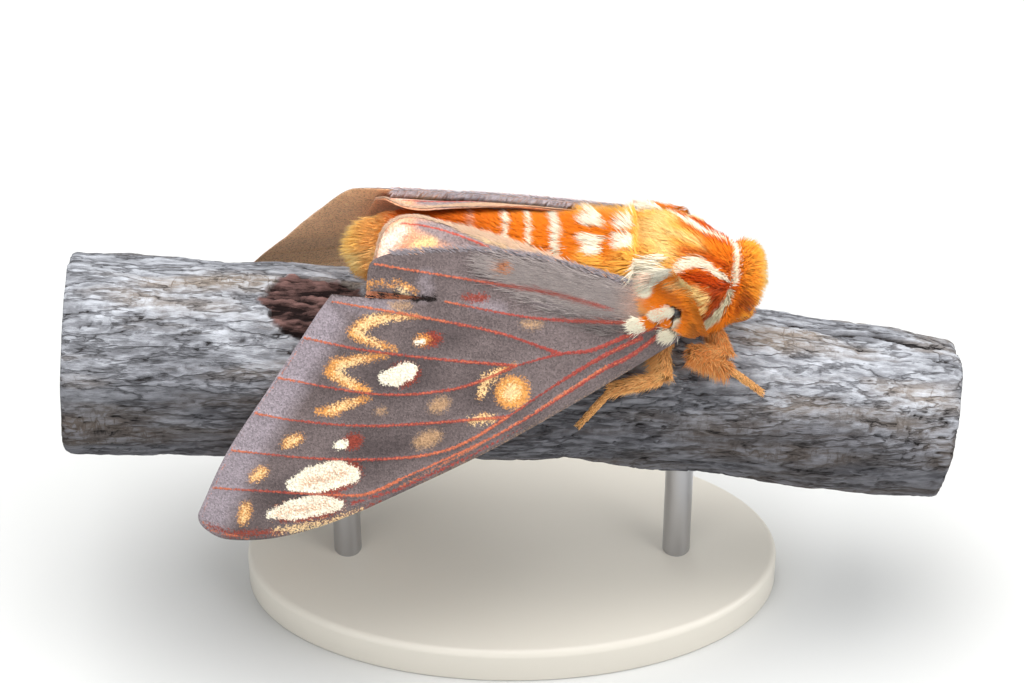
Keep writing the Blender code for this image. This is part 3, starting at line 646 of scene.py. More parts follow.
class Comb:
    """Makes tapered three-sided hairs, joined in one mesh with a patch of the bake map for each."""

    FLATNESS = 0.55
    PATCH = 0.003
    # Painted shade and light along each hair: darkest at the root, where the coat around it shades it, and
    # lightest at the tip.
    PAINTED_SHADING = (0.5, 0.85, 1.05, 1.2)

    def __init__(self, material: Material) -> None:
        """Takes the material of the hairs."""
        self.material = material

    def build(self, name: str, lies: Sequence[HairLie], tip_tone: Array | None = None,
              painted_shading: Sequence[float] = PAINTED_SHADING) -> None:
        """One coat piece.

        Args:
            name: the piece's name.
            lies: its batches of hairs, all with the same number of steps.
            tip_tone: a colour that the tips lean to, if any.
            painted_shading: brightness along a hair from root to tip: painted shade at the root, where the
                coat shades it, and painted light at the tip.
        """
        middles, normals, widths, tones, roots = (
            np.concatenate(parts) for parts in zip(*(vars(lie).values() for lie in lies)))
        count, steps = middles.shape[:2]
        rings = steps - 1
        along = unit(np.gradient(middles, axis=1))
        across = unit(np.cross(normals, along))
        upward = np.cross(along, across)
        swell = np.interp(np.arange(rings) / rings, (0, 0.35, 1), (0.7, 1, 0.35))
        half = (0.5 * widths[:, None] * swell)[..., None]
        corners = [middles[:, :rings] + half * (across[:, :rings] * math.cos(turn)
                                                + upward[:, :rings] * math.sin(turn) * self.FLATNESS)
                   for turn in np.radians((90.0, 210.0, 330.0))]
        ringed = np.stack(corners, axis=2).reshape(count, rings * 3, 3)
        places = np.concatenate((ringed, middles[:, -1:]), axis=1).reshape(-1, 3)
        each = rings * 3 + 1
        quads, quad_uv = [], []
        for row, side in np.ndindex(rings - 1, 3):
            after = (side + 1) % 3
            quads.append((row * 3 + side, row * 3 + after, row * 3 + 3 + after, row * 3 + 3 + side))
            quad_uv.append([((side + right) / 3, (row + up) / rings)
                            for right, up in ((0, 0), (1, 0), (1, 1), (0, 1))])
        end = (rings - 1) * 3
        fans = [(0, 2, 1)] + [(end + side, end + (side + 1) % 3, rings * 3) for side in range(3)]
        level = (rings - 1) / rings
        fan_uv = [((0.0, 0.0), (1.0, 0.0), (0.5, 0.2))]
        fan_uv += [((side / 3, level), ((side + 1) / 3, level), ((side + 0.5) / 3, 1.0))
                   for side in range(3)]
        first = np.arange(count)[:, None, None] * each
        obj = make_mesh(name, places, (first + np.array(quads)).reshape(-1, 4),
                        (first + np.array(fans)).reshape(-1, 3))
        start = 0.01 + roots * 0.977
        spread = [(start[:, None, None, :] + np.array(part)[None] * self.PATCH).reshape(-1, 2)
                  for part in (quad_uv, fan_uv)]
        layer = obj.data.uv_layers.new(name="OFBake")
        layer.data.foreach_set("uv", np.concatenate(spread).astype(np.float32).ravel())
        # Painted shade at each hair's root and painted light at its tip.
        painted_shading = np.interp(np.arange(steps) / rings, (0, 0.33, 0.67, 1), painted_shading)
        painted = tones[:, None, :] * painted_shading[None, :, None]
        if tip_tone is not None:
            lean = 0.45 * ramp(np.arange(steps) / rings, 0.4, 1)[None, :, None]
            painted = painted * (1.0 - lean) + tip_tone * lean
        painted = np.concatenate((np.repeat(painted[:, :rings], 3, axis=1), painted[:, -1:]), axis=1)
        paint(obj, "coat_tone", painted.reshape(-1, 3))
        dress(obj, self.material, "coat")


@dataclass(frozen=True)
class CoatMark:
    """A marking of the body's coat, the same on both sides of the back.

    Attributes:
        points: its middle line as (x, turn from the middle of the back).
        half: half its width, the same all along or one number for each point.
        tone: the name of its colour.
        soft: how gradually it ends, in millimetres.
        rise: how much higher its hairs stand.
    """

    points: Points
    half: Halves
    tone: str
    soft: float = 0.25
    rise: float = 0.0


COAT_MARKS = tuple(CoatMark(*row) for row in (
    (((17.3, 56), (17.6, 72), (16.9, 88)), 0.6, "orange", 0.8, 0.35),
    (((11.6, 0), (12.4, 30)), 1.9, "amber", 1.2),
    (((14, 8), (16, 8)), (1.7, 1.2), "amber", 1),
    (((12.2, 4), (13, 22)), 0.9, "straw", 1.3),
    (((16.6, 40), (19.4, 46), (20.2, 50)), (0.8, 1, 0.8), "deep", 0.8),
    (((13.2, 56), (15.2, 42), (17.4, 38), (19.4, 46)), (0.5, 0.5, 0.7, 1), "deep", 0.5),
    (((15, 16), (17.4, 12), (20, 22)), 0.35, "deep", 0.8),
    (((18.4, 56), (19, 70), (17.6, 88)), 1.1, "ember", 1),
    # Painted shade: a dark red band low on the neck, in the crease between head and thorax
    (((21.6, 72), (21.6, 100)), 0.4, "ember", 0.9),
    (((12.9, 78), (12, 62)), 1.2, "orange", 0.8),
    (((9.9, 34), (8.8, 52)), 1.5, "amber", 0.9, 1),
    (((5.4, 40), (6.4, 54)), 1, "amber", 0.8, 1),
    (((-2, 50), (6, 60)), 0.6, "amber", 0.9, 0.2),
    (((12.4, 33), (11.7, 40), (10.9, 47), (10.5, 54), (10.8, 63)),
     (0.2, 0.75, 1.05, 1.15, 0.6), "cream", 0.2, 0.8),
    (((13.8, 43), (14.7, 33), (16.1, 24), (17.6, 24), (18.9, 30), (20.4, 39)),
     (0.1, 0.5, 0.62, 0.55, 0.42, 0.22), "cream", 0.1),
    (((13.3, 1), (14.8, 1), (16.8, 2)), (0.3, 0.4, 0.15), "straw", 0.4),
    (((21, 0), (20.95, 16), (20.8, 38)), 0.34, "cream", 0.12),
    (((20.5, 50), (20.2, 60), (19.5, 75), (18.4, 90), (17.2, 105), (16.2, 118)),
     (0.2, 0.45, 0.7, 0.75, 0.7, 0.3), "moss", 0.18),
    (((13.5, 52), (15, 53), (16.3, 53), (17.2, 59), (17.3, 76)),
     (0.1, 0.3, 0.5, 0.6, 0.25), "straw", 0.3),
    (((8.4, 10), (9.4, 10), (9.4, 18), (8.5, 19), (8.6, 13)), 0.52, "cream", 0.08, 0.25),
    (((5, 14), (5.9, 17), (5.6, 28)), (0.5, 0.8, 0.6), "cream", 0.12, 0.4),
    (((2.2, 2), (2.2, 80)), (0.55, 0.4), "cream", 0.12),
    (((-0.6, 0), (-0.5, 80)), (0.25, 0.25), "cream", 0.12),
    (((-3, 0), (-2.9, 80)), (0.3, 0.22), "cream", 0.15),
    (((-6.4, 0), (-6.3, 80)), (0.2, 0.05), "blush", 0.3),
    (((-16.1, 55), (-16.4, 100)), 0.7, "straw", 0.8),
))


class BodyForm:
    """The body's skin: one smooth form through oval stations, from the tail to the face.

    It is read by reach, the way along its outline, and by turn round it.
    """

    STATIONS = (
        (-17.2, 15, 0.3, 0.3), (-16.8, 15, 1.3, 1.3), (-15.8, 15.2, 2.4, 2.5), (-13.5, 15.4, 3.4, 3.4),
        (-8, 15.5, 3.95, 3.95), (0, 15.5, 4.15, 4.15), (8.5, 15.5, 4.15, 4.15), (10.8, 15.5, 4.3, 4.3),
        (12, 15.6, 5.2, 4.9), (13.8, 15.2, 5.8, 5.1), (16.8, 14.5, 5.8, 4.8), (18.8, 14, 5.2, 4.5),
        (20.3, 13.9, 4.4, 4.15), (21, 14, 3.65, 3.7), (21.5, 14.4, 3.25, 3.3), (22, 14.8, 2.75, 2.8),
        (22.4, 15.2, 2.15, 2.2), (22.7, 15.4, 1.35, 1.4), (22.85, 15.5, 0.3, 0.3))
    ROLL = 4.0

    def __init__(self) -> None:
        """Measures the way along the outline."""
        self.run = smooth_run(self.STATIONS, 0.12)
        steps = np.diff(self.run, axis=0)
        lengths = np.hypot(steps[:, 0], (steps[:, 2] + steps[:, 3]) / 2)
        self.reaches = np.concatenate(([0.0], np.cumsum(lengths)))

    def read(self, reach: Array, column: int) -> Array:
        """One of the four station numbers along the outline."""
        return np.interp(reach, self.reaches, self.run[:, column])

    def reach_of(self, x: Array | float) -> Array:
        """Way along the outline to an x."""
        return np.interp(x, self.run[:, 0], self.reaches)

    def at(self, reach: Array, turn: Array) -> Array:
        """Places on the skin, straight on from it past either end."""
        angle = np.radians(turn)
        over = reach - np.clip(reach, 0, self.reaches[-1])
        x, z, wide, high = (self.read(reach, column) for column in range(4))
        return stack(x + over, -wide * np.sin(angle), z + high * np.cos(angle))

    def normal(self, reach: Array, turn: Array) -> Array:
        """Directions away from the skin."""
        inner = np.clip(reach, 0.2, self.reaches[-1] - 0.2)
        along = self.at(inner + 0.15, turn) - self.at(inner - 0.15, turn)
        around = self.at(inner, turn + 1.0) - self.at(inner, turn - 1.0)
        return unit(np.cross(around, along))

    def turn_of(self, places: Array) -> Array:
        """Turn of places round the body."""
        axis = np.interp(places[:, 0], self.run[:, 0], self.run[:, 1])
        return np.degrees(np.arctan2(-places[:, 1], places[:, 2] - axis))

    def tones(self, x: Array, turn: Array, fray: float = 0.0,
              rng: np.random.Generator | None = None) -> tuple[Array, Array]:
        """Linear colours of the coat and how much higher it stands.

        Args:
            x: places along the body.
            turn: turns round it.
            fray: how far a hair may carry a marking's colour past its edge.
            rng: source of that scatter, if any.

        Returns:
            The colours and the extra heights.
        """
        middle = np.abs(wrapped(turn - self.ROLL))
        colour = np.broadcast_to(TONES["orange"], (*x.shape, 3)).copy()
        rise = np.zeros(x.shape)
        for share, tone in ((ramp(-x, -1, 12) * 0.75, "deep"),
                            (ramp(middle, 95, 130) * ramp(x, -13, -11) * 0.5, "brown"),
                            (ramp(-x, 14.2, 16.6), "amber"),
                            (ramp(x, 21.2, 21.6), "flame"), (ramp(x, 21.7, 22.3) * 0.7, "amber"),
                            (ramp(x, 22.2, 22.7) * 0.6, "straw")):
            colour = tint(colour, tone, share)
        scatter = rng.normal(0, fray, x.shape) if rng is not None else 0.0
        for mark in COAT_MARKS:
            scale = math.radians(5.9 if mark.points[0][0] > 10.5 else 4.7)
            field_at = stroke_field(stack(x, middle * scale),
                                    [(px, turn_at * scale) for px, turn_at in mark.points], mark.half)
            share = ramp(field_at + scatter, -mark.soft, mark.soft)
            colour = tint(colour, mark.tone, share)
            rise += mark.rise * share
        return colour, rise


@dataclass(frozen=True)
class CoatArea:
    """A part of the body's coat that is one piece.

    Attributes:
        name: the piece's name.
        span: from and to x.
        turns: from and to turn.
        count: number of hairs.
        width: width of a hair.
        length: length of its hairs against the usual.
        steps: points along each hair, with its tip.
    """

    name: str
    span: tuple[float, float]
    turns: tuple[float, float]
    count: int
    width: float = 0.13
    length: float = 1.0
    steps: int = 4


class BodyCoat:
    """Dense hair over head, thorax, abdomen and tail, parted at the neck."""

    AREAS = (
        CoatArea("coat_thorax_right", (10.6, 21.3), (-2, 112), 10500),
        CoatArea("coat_thorax_left", (10.6, 21.3), (-112, 2), 9000, 0.14),
        CoatArea("coat_thorax_under", (11, 21), (112, 248), 3200, 0.24, 0.9, 3),
        CoatArea("coat_head", (20.9, 24.5), (-180, 180), 10000, 0.11),
        CoatArea("coat_abdomen_front", (0, 11.4), (-100, 100), 12300, 0.13, 1, 3),
        CoatArea("coat_abdomen_rear", (-14, 0.2), (-100, 100), 10400, 0.155, 1, 3),
        CoatArea("coat_abdomen_under", (-14, 11.4), (100, 260), 3600, 0.34, 1.1, 3),
        CoatArea("coat_tail", (-17.1, -12.6), (-180, 180), 6000, 0.12),
    )
    SEED = 100
    WANDER_SEED = 21

    def __init__(self, form: BodyForm, comb: Comb) -> None:
        """Takes the skin that it grows on and the maker of its hairs."""
        self.form = form
        self.comb = comb
        self.grain = Grain(self.WANDER_SEED)

    def habit(self, x: Array, middle: Array) -> tuple[Array, ...]:
        """How hair lies at each root.

        Args:
            x: places along the body.
            middle: turn from the middle of the back, 0 to 180.

        Returns:
            Its way along and down the body, its length and the height of its tip.
        """
        head = ramp(x, 21, 21.9)
        tail = ramp(-x, 12, 15.5)
        thorax = ramp(x, 10.6, 12.2) * (1.0 - head)
        side = ramp(middle, 30, 90)
        front = ramp(x, 17.5, 20.5) * (1.0 - head)
        along = -1.0 + 1.9 * head
        collar = ramp(x, 20.2, 20.7) * (1.0 - head)
        down = 0.1 + (0.55 * side * (1.0 - 0.4 * tail)) * thorax + 0.7 * front * side * (1.0 - collar)
        shoulder = ramp(x, 2.5, 6.5) * (1.0 - thorax)
        length = 1.5 + 1.2 * thorax - 1.1 * front - 0.7 * collar - 0.15 * head + 1.0 * tail + 1.2 * shoulder
        length = length - 0.3 * ramp(x, 21.6, 22.7) - 0.55 * head * ramp(middle, 60, 110)
        length = length - 0.7 * tail * ramp(middle, 50, 110)
        fan = ramp(3.2 - np.hypot(x - 12.8, (middle - 50) * 0.1), 0, 0.8)
        down = down + fan * np.clip((middle - 40) / 8, -1, 2)
        skirt = ramp(x, 10.6, 11.4) * ramp(-x, -14.5, -12.5)
        height = 0.6 + 0.35 * thorax - 0.25 * front + 0.25 * tail + 0.35 * shoulder + 0.3 * skirt
        return along, down, length, height

    def grow(self, area: CoatArea, seed: int) -> HairLie:
        """The hairs of one area.

        Args:
            area: the area.
            seed: seed of its scatter.

        Returns:
            How its hairs lie.
        """
        rng = np.random.default_rng(seed)
        form = self.form
        low, high = (float(form.reach_of(x)) for x in area.span)
        reach = rng.uniform(low, high, area.count * 3)
        keep = rng.uniform(0, 6.2, reach.shape) < np.maximum(form.read(reach, 2), 0.9)
        while keep.sum() < area.count:
            keep |= rng.uniform(0, 6.2, reach.shape) < np.maximum(form.read(reach, 2), 0.9)
        reach = reach[keep][:area.count]
        first, last = area.turns
        turn = rng.uniform(first, last, reach.shape)
        x = form.read(reach, 0)
        middle_turn = wrapped(turn - form.ROLL)
        along, down, length, height = self.habit(x, np.abs(middle_turn))
        wander = self.grain.layered(stack(reach * 0.45, turn * 0.05, 0.0))
        ragged = np.clip(0.3 * rng.normal(size=x.shape) + 1.2 * wander, -0.45, 0.6)
        ragged = ragged * ramp(x, 10.4, 11.2) * ramp(-x, -14.5, -12.5)
        length = length * area.length * (rng.uniform(0.7, 1.2, x.shape) + ragged)
        height = height * rng.uniform(0.55, 1.15, x.shape)
        sway = wander * 0.5 + rng.normal(0, 0.12, x.shape)
        radius = np.maximum((form.read(reach, 2) + form.read(reach, 3)) / 2, 1.2)
        size = np.hypot(along, down)
        steps_t = np.linspace(0, 1, area.steps)[None, :]
        clump = stack(reach / 0.75, turn * radius * math.pi / 180.0 / 0.75)
        cell = np.floor(clump)
        pull = (0.5 + 0.3 * np.sin(cell * (12.9, 78.2) + cell[:, ::-1] * 37.7) - (clump - cell)) * 0.75
        go_reach = (along / size)[:, None] * length[:, None] * steps_t + 0.55 * pull[:, :1] * steps_t ** 2
        go_turn = (np.sign(middle_turn) * down / size + sway)[:, None] * length[:, None] * steps_t
        go_turn = np.degrees((go_turn + 0.55 * pull[:, 1:] * steps_t ** 2) / radius[:, None])
        reaches = reach[:, None] + go_reach
        turns = turn[:, None] + go_turn
        straight = np.maximum(ramp(x, 20.2, 20.8), ramp(-x, 13.5, 15.5))
        tip = np.clip(reach + along / size * length * 0.8 * (1 - straight), 0, form.reaches[-1])
        tone, rise = form.tones(form.read(tip, 0), turn + go_turn[:, -1] * 0.8, 0.1, rng)
        tone = tone * rng.uniform(0.86, 1.1, x.shape)[:, None]
        lifts = -0.35 + (height + rise + 0.35)[:, None] * steps_t ** 0.8
        normals = form.normal(reaches, turns)
        middles = form.at(reaches, turns) + normals * lifts[..., None]
        middles += (self.sprout(reach, turn, x, length, steps_t, rng) - middles) * straight[:, None, None]
        roots = stack((reach - low) / (high - low), (turn - first) / (last - first))
        widths = area.width * rng.uniform(0.75, 1.25, x.shape)
        return HairLie(middles, normals, widths, tone, roots)

    def sprout(self, reach: Array, turn: Array, x: Array, length: Array,
               steps_t: Array, rng: np.random.Generator) -> Array:
        """Hair that stands out from the face and the tail in place of following the skin.

        Args:
            reach: way of each root along the outline.
            turn: turn of each root.
            x: place of each root along the body.
            length: length of each hair.
            steps_t: shares of its length.
            rng: source of the scatter.

        Returns:
            Middle line of each hair.
        """
        normal = self.form.normal(reach, turn)
        front = np.where(x > 0.0, 1.0, 0.0)[:, None]
        near = ramp(x, 21, 22.1)[:, None]
        way = near * np.array((0.6, 0.0, -0.2)) + (1.0 - front) * np.array((-1.1, 0.0, -0.2))
        droop = near * np.array((-0.1, 0.0, -0.2)) + (1.0 - front) * np.array((0.0, 0.0, -0.12))
        stand = (0.95 - 0.15 * near) * front + 0.35 * (1.0 - front)
        lock = self.grain.layered(stack(reach * 1.6, turn * 0.12, 0.0), 2)
        way = way + stack(0.0, lock, lock * 0.4) * 0.4
        way = unit(way + normal * stand + rng.normal(0, 0.1, normal.shape))
        root = self.form.at(reach, turn) - normal * 0.3
        steps_t = steps_t[..., None]
        bow = way[:, None] * steps_t + droop[:, None] * steps_t ** 2
        return root[:, None] + bow * length[:, None, None]

    def build(self) -> None:
        """Every area of the coat."""
        for index, area in enumerate(self.AREAS):
            tip = TONES["straw"] if area.name == "coat_tail" else None
            # Head and tail hair get milder painted shade at their roots.
            painted_shading = (0.75, 0.95, 1.08, 1.2) if area.name in ("coat_tail", "coat_head") else Comb.PAINTED_SHADING
            self.comb.build(area.name, [self.grow(area, self.SEED + index)], tip, painted_shading)


# Legs

@dataclass(frozen=True)
class LegPlan:
    """One pair of legs, as the right one.

    Attributes:
        joints: hip, elbow of the hip, knee, ankle and foot.
        radii: radii of hip, thigh and shin with their down.
        hang: the way that the long hair hangs.
        hair: length of the long hair.
        tone: name of its colour.
    """

    joints: tuple[Place, ...]
    radii: Place
    hang: Place
    hair: float
    tone: str


LEGS = {
    "front": LegPlan(((19.3, -3.2, 11.2), (20.9, -5.8, 9.5), (17.3, -6.5, 10.2), (21.3, -6.4, 8.2),
                      (25.3, -6.7, 5.3)), (0.85, 0.85, 0.75), (-0.25, -0.5, -0.8), 1.4, "leather"),
    "middle": LegPlan(((15.2, -3.2, 10.6), (14.4, -5.6, 9.3), (14.7, -8.6, 8.5), (9.6, -8.9, 6.4),
                       (6.6, -10.1, 1.8)), (0.8, 0.75, 0.6), (-0.75, -0.25, -0.4), 1.6, "tan"),
    "hind": LegPlan(((12.8, -3.2, 10.9), (10.8, -5.2, 10.2), (5.4, -6.8, 10.6), (-1.2, -9.2, 5.6),
                     (-6.2, -10.7, 1.4)), (0.8, 0.75, 0.6), (-0.8, -0.2, -0.3), 1.1, "tan"),
}


class Legs:
    """Six hairy legs: their share of the skin, their hair, claws, spurs and foot joints."""

    TARSUS = 0.4
    CLAW = 0.9
    SEED = 300

    def bones(self, sides: Sequence[int] = (-1, 1)) -> list[tuple[int, LegPlan, Array]]:
        """Side, plan and joints of each leg."""
        return [(side, plan, np.array(plan.joints) * (1, -side, 1))
                for side in sides for plan in LEGS.values()]

    def skin_blocks(self) -> list[tuple[Array, ...]]:
        """Tubes of every leg, to be fused with the body's skin."""
        blocks = []
        for _, plan, joints in self.bones():
            hip, thigh, shin = plan.radii
            for start, end, radii in ((0, 1, (hip, hip * 0.85)), (1, 2, (thigh * 0.8, thigh, thigh * 0.6)),
                                      (2, 3, (shin * 0.7, shin, shin * 0.5))):
                share = np.linspace(-0.06, 1.06, 9)[:, None]
                path = joints[start] + (joints[end] - joints[start]) * share
                width = np.interp(share[:, 0], np.linspace(0, 1, len(radii)), radii)
                width = width * np.sqrt(np.clip(1 - np.abs(share[:, 0] * 2 - 1) ** 8 * 0.7, 0.05, 1))
                blocks.append(tube(path, width, 14))
            blocks.append(self.foot(joints[3], joints[4]))
        return blocks

    def foot(self, ankle: Array, tip: Array) -> tuple[Array, ...]:
        """A foot of five short joints, each a little waisted."""
        share = np.linspace(-0.05, 1, 41)
        wave = 0.78 + 0.3 * np.abs(np.sin(share * 5 * math.pi)) ** 0.7
        path = ankle + (tip - ankle) * share[:, None]
        radii = self.TARSUS * wave * (1.15 - 0.35 * share)
        return tube(path, radii, 10)

    def coat(self, comb: Comb) -> None:
        """Hair of the right and the left legs."""
        for side_name, side in SIDES.items():
            lies = []
            for index, (_, plan, joints) in enumerate(self.bones((side,))):
                hang = unit(np.array(plan.hang) * (1, -side, 1))
                rng = np.random.default_rng(self.SEED + index * 7 + side)
                for bone, (count, radius, length, way) in enumerate((
                        (900, plan.radii[0], 1.9, 0.65), (1100, plan.radii[1], plan.hair * 1.1, 0.7),
                        (1300, plan.radii[2], plan.hair * 1.1, 0.7), (700, self.TARSUS, 0.5, 0.1))):
                    strip = (index * 4 + bone) / 12
                    lies.append(self.bone_hair(joints[bone], joints[bone + 1], radius, hang, rng,
                                               (count, length, way, strip, plan.tone, bone)))
            comb.build("coat_legs_" + side_name, lies)

    def bone_hair(self, start: Array, end: Array, radius: float, hang: Array,
                  rng: np.random.Generator, habit: tuple) -> HairLie:
        """Hair on one bone.

        Args:
            start: where the bone starts.
            end: where it ends.
            radius: radius of its skin.
            hang: the way long hair hangs.
            rng: source of the scatter.
            habit: count, length, share of hang, strip of the unwrap, tone and number of the bone.

        Returns:
            How its hairs lie.
        """
        count, length, way, strip, tone_name, bone = habit
        along = unit(end - start)
        guide = unit(np.cross(along, hang))
        other = np.cross(along, guide)
        share = rng.random(count)
        turn = rng.uniform(0, CIRCLE, count)
        spoke = guide * np.cos(turn)[:, None] + other * np.sin(turn)[:, None]
        under = np.clip(spoke @ hang, -0.3, 1)
        thickness = radius * (1.0 - 0.45 * np.abs(share - 0.45))
        root = start + (end - start) * share[:, None] + spoke * (thickness * 0.75)[:, None]
        lie = unit(hang * (way * (0.5 + 0.5 * under))[:, None] + along * (1.15 - way)
                   + spoke * 0.35 + rng.normal(0, 0.12, (count, 3)))
        reach = length * (0.6 + 0.5 * np.clip(under, 0, 1)) * rng.uniform(0.5, 1.15, count)
        steps_t = np.linspace(0, 1, 3)[None, :, None]
        bend = (spoke * 0.5 - hang * 0.15)[:, None, :] * np.sin(steps_t * math.pi) * 0.25
        middles = root[:, None, :] + lie[:, None, :] * (reach[:, None, None] * steps_t) + bend * radius
        colour = np.broadcast_to(TONES[tone_name], (count, 3)).copy()
        if bone == 3:
            colour[:] = TONES["tan"]
            spine = rng.random(count) < 0.06
            colour[spine] = TONES["soot"]
        colour += (TONES["straw"] - colour) * (rng.uniform(0, 0.6, count) ** 1.5)[:, None]
        roots = stack(share, strip + turn / (2 * math.pi) / 12 * 0.96)
        normals = np.broadcast_to(spoke[:, None, :], middles.shape)
        return HairLie(middles, normals, np.full(count, 0.095), colour, roots)

    def horn(self, bristles: "Bristles", material: Material) -> None:
        """Claws and shin spurs of all six legs."""
        places, ways, reaches = [], [], []
        for _, _, joints in self.bones():
            ankle, tip = joints[3], joints[4]
            along = unit(tip - ankle)
            outward = np.array((0.0, tip[1], tip[2] - Branch.axis_z(tip[0])))
            across = unit(np.cross(along, outward))
            for turn in (-1, 1):
                places.append(tip - along * 0.15)
                ways.append(unit(along + across * 0.6 * turn - unit(outward) * 0.25))
                reaches.append(self.CLAW * 0.75)
                places.append(ankle)
                ways.append(unit(unit(ankle - joints[2]) + across * 0.5 * turn - unit(outward) * 0.3))
                reaches.append(0.8)
        piece = bristles.build("claws", np.array(places), np.array(ways), np.array(reaches), 0.12, material)
        dress(piece, material, "feeler")


class BodySkin:
    """One skin over head, thorax, abdomen and legs, without seams."""

    VOXEL = 0.2

    def __init__(self, form: BodyForm, legs: Legs) -> None:
        """Takes the body's form and the legs that fuse with it."""
        self.form = form
        self.legs = legs

    def build(self, material: Material) -> None:
        """The skin, fused and painted with the coat's markings."""
        form = self.form
        reach = np.linspace(0, form.reaches[-1], 300)
        turns = np.arange(96) * 3.75
        rings = form.at(reach[:, None], -turns[None, :])
        ends = stack(form.read(reach, 0), 0.0, form.read(reach, 1))
        blocks = [lathe_rings(ends, rings), *self.legs.skin_blocks()]
        rough = make_mesh("moth_skin", *join(blocks))
        fuse = rough.modifiers.new("fuse", "REMESH")
        fuse.mode = "VOXEL"
        fuse.voxel_size = self.VOXEL * MM
        rough.modifiers.new("smooth", "SMOOTH").iterations = 4
        settle(rough)
        mesh = rough.data
        mesh.polygons.foreach_set("use_smooth", np.full(len(mesh.polygons), True))
        world = np.empty(len(mesh.vertices) * 3)
        mesh.vertices.foreach_get("co", world)
        places = PERCH.to_perch(world.reshape(-1, 3))
        x = places[:, 0]
        tone, _ = form.tones(x, form.turn_of(places))
        axis, radius = (np.interp(x, form.run[:, 0], form.run[:, column]) for column in (1, 2))
        on_leg = ramp(np.hypot(places[:, 1], places[:, 2] - axis) - radius, 0.2, 0.8)
        tone = tint(tone, "tan", on_leg)
        paint(rough, "coat_tone", tone * 0.7)
        names = ["head", "thorax", "abdomen"]
        names += ["leg_" + kind + "_" + side for kind in LEGS for side in SIDES]
        dress(rough, material, "coat", *names)


class Bristles:
    """A Geometry Nodes tree that sets a tapered bristle on each point of a mesh.

    TIP is a bristle's radius at its tip, and UNEVEN how much shorter one may be, as a share.
    """

    SOCKETS = {"Root Radius": "Float", "Tip Radius": "Float", "Sides": "Int", "Uneven": "Float",
               "Seed": "Int", "Material": "Material"}
    TIP = 0.02
    SIDES = 5
    UNEVEN = 0.1
    SEED = 5

    def __init__(self) -> None:
        """Builds the tree."""
        tree = bpy.data.node_groups.new("bristles_on_points", "GeometryNodeTree")
        face = tree.interface
        face.new_socket("Geometry", in_out="INPUT", socket_type="NodeSocketGeometry")
        self.sockets = {}
        for name, kind in self.SOCKETS.items():
            socket = face.new_socket(name, in_out="INPUT", socket_type="NodeSocket" + kind)
            self.sockets[name] = socket.identifier
        face.new_socket("Geometry", in_out="OUTPUT", socket_type="NodeSocketGeometry")
        given = tree.nodes.new("NodeGroupInput").outputs
        add = partial(add_node, tree)
        cone = add("GeometryNodeMeshCone", {
            "Vertices": given["Sides"], "Side Segments": 2, "Radius Top": given["Tip Radius"],
            "Radius Bottom": given["Root Radius"], "Depth": MM})
        way = add("GeometryNodeInputNamedAttribute", {"Name": "way"}, data_type="FLOAT_VECTOR")
        size = add("GeometryNodeInputNamedAttribute", {"Name": "size"}, data_type="FLOAT")
        aim = add("FunctionNodeAlignRotationToVector", {"Vector": way}, axis="Z")
        least = add("Math", {0: 1.0, 1: given["Uneven"]}, operation="SUBTRACT")
        draw = add("FunctionNodeRandomValue", {2: least, 3: 1.0, "Seed": given["Seed"]}, data_type="FLOAT")
        length = add("Math", {0: size, 1: draw}, operation="MULTIPLY")
        scale = add("CombineXYZ", {0: 1.0, 1: 1.0, 2: length})
        spread = add("GeometryNodeInstanceOnPoints", {
            "Points": given["Geometry"], "Instance": cone, "Rotation": aim, "Scale": scale})
        real = add("GeometryNodeRealizeInstances", {0: spread})
        shaded = add("GeometryNodeSetShadeSmooth", {0: real})
        clad = add("GeometryNodeSetMaterial", {"Geometry": shaded, "Material": given["Material"]})
        add("NodeGroupOutput", {0: clad})
        self.tree = tree

    def build(self, name: str, roots: Array, ways: Array, reaches: Array, radius: float,
              material: Material) -> Object:
        """Bristles on the given roots, as a plain mesh.

        Args:
            name: the object's name.
            roots: their roots in perch millimetres.
            ways: their directions.
            reaches: their lengths in millimetres.
            radius: their radius at the root.
            material: what they are made of.

        Returns:
            The new object.
        """
        base = make_mesh(name, roots, np.empty((0, 3), int))
        layer = base.data.attributes.new("way", "FLOAT_VECTOR", "POINT")
        layer.data.foreach_set("vector", PERCH.turned(ways).astype(np.float32).ravel())
        paint(base, "size", reaches)
        modifier = base.modifiers.new("bristles", "NODES")
        modifier.node_group = self.tree
        values = (radius * MM, self.TIP * MM, self.SIDES, self.UNEVEN, self.SEED, material)
        for label, value in zip(self.SOCKETS, values):
            modifier[self.sockets[label]] = value
        settle(base)
        return base


# Feelers and eyes

@dataclass
class Feelers:
    """Two short combed feelers, folded down from the face and back under the head."""

    path: tuple = ((23.0, -1.9, 13.0), (23.3, -2.1, 12.1), (23.0, -2.0, 11.2), (22.2, -1.8, 10.5),
                   (21.2, -1.7, 10.1))
    middle: Place = (21.9, 0.0, 12.5)
    radius: float = 0.26
    tip_radius: float = 0.13
    ray_step: float = 0.22
    ray_length: float = 0.9

    def build(self, bristles: Bristles, material: Material) -> None:
        """Shaft and rays of both feelers."""
        for side_name, side in SIDES.items():
            path = smooth_run(np.array(self.path) * (1, -side, 1), self.ray_step)
            count = len(path)
            radii = np.linspace(self.radius, self.tip_radius, count)
            shaft = make_mesh("feeler_shaft_" + side_name, *tube(path, radii, 12))
            dress(shaft, material, "feeler", "antenna_" + side_name)
            along = tangents(path)
            across = unit(np.cross(along, unit(path - self.middle)))
            inner = slice(4, count - 3)
            share = np.arange(count)[inner] / count
            roots = np.concatenate((path[inner], path[inner]))
            ways = np.concatenate([unit(across[inner] * turn + along[inner] * 0.4) for turn in (-1, 1)])
            reaches = np.tile(self.ray_length * (1.05 - 0.6 * share), 2)
            rays = bristles.build("feeler_rays_" + side_name, roots, ways, reaches, 0.05, material)
            dress(rays, material, "feeler")


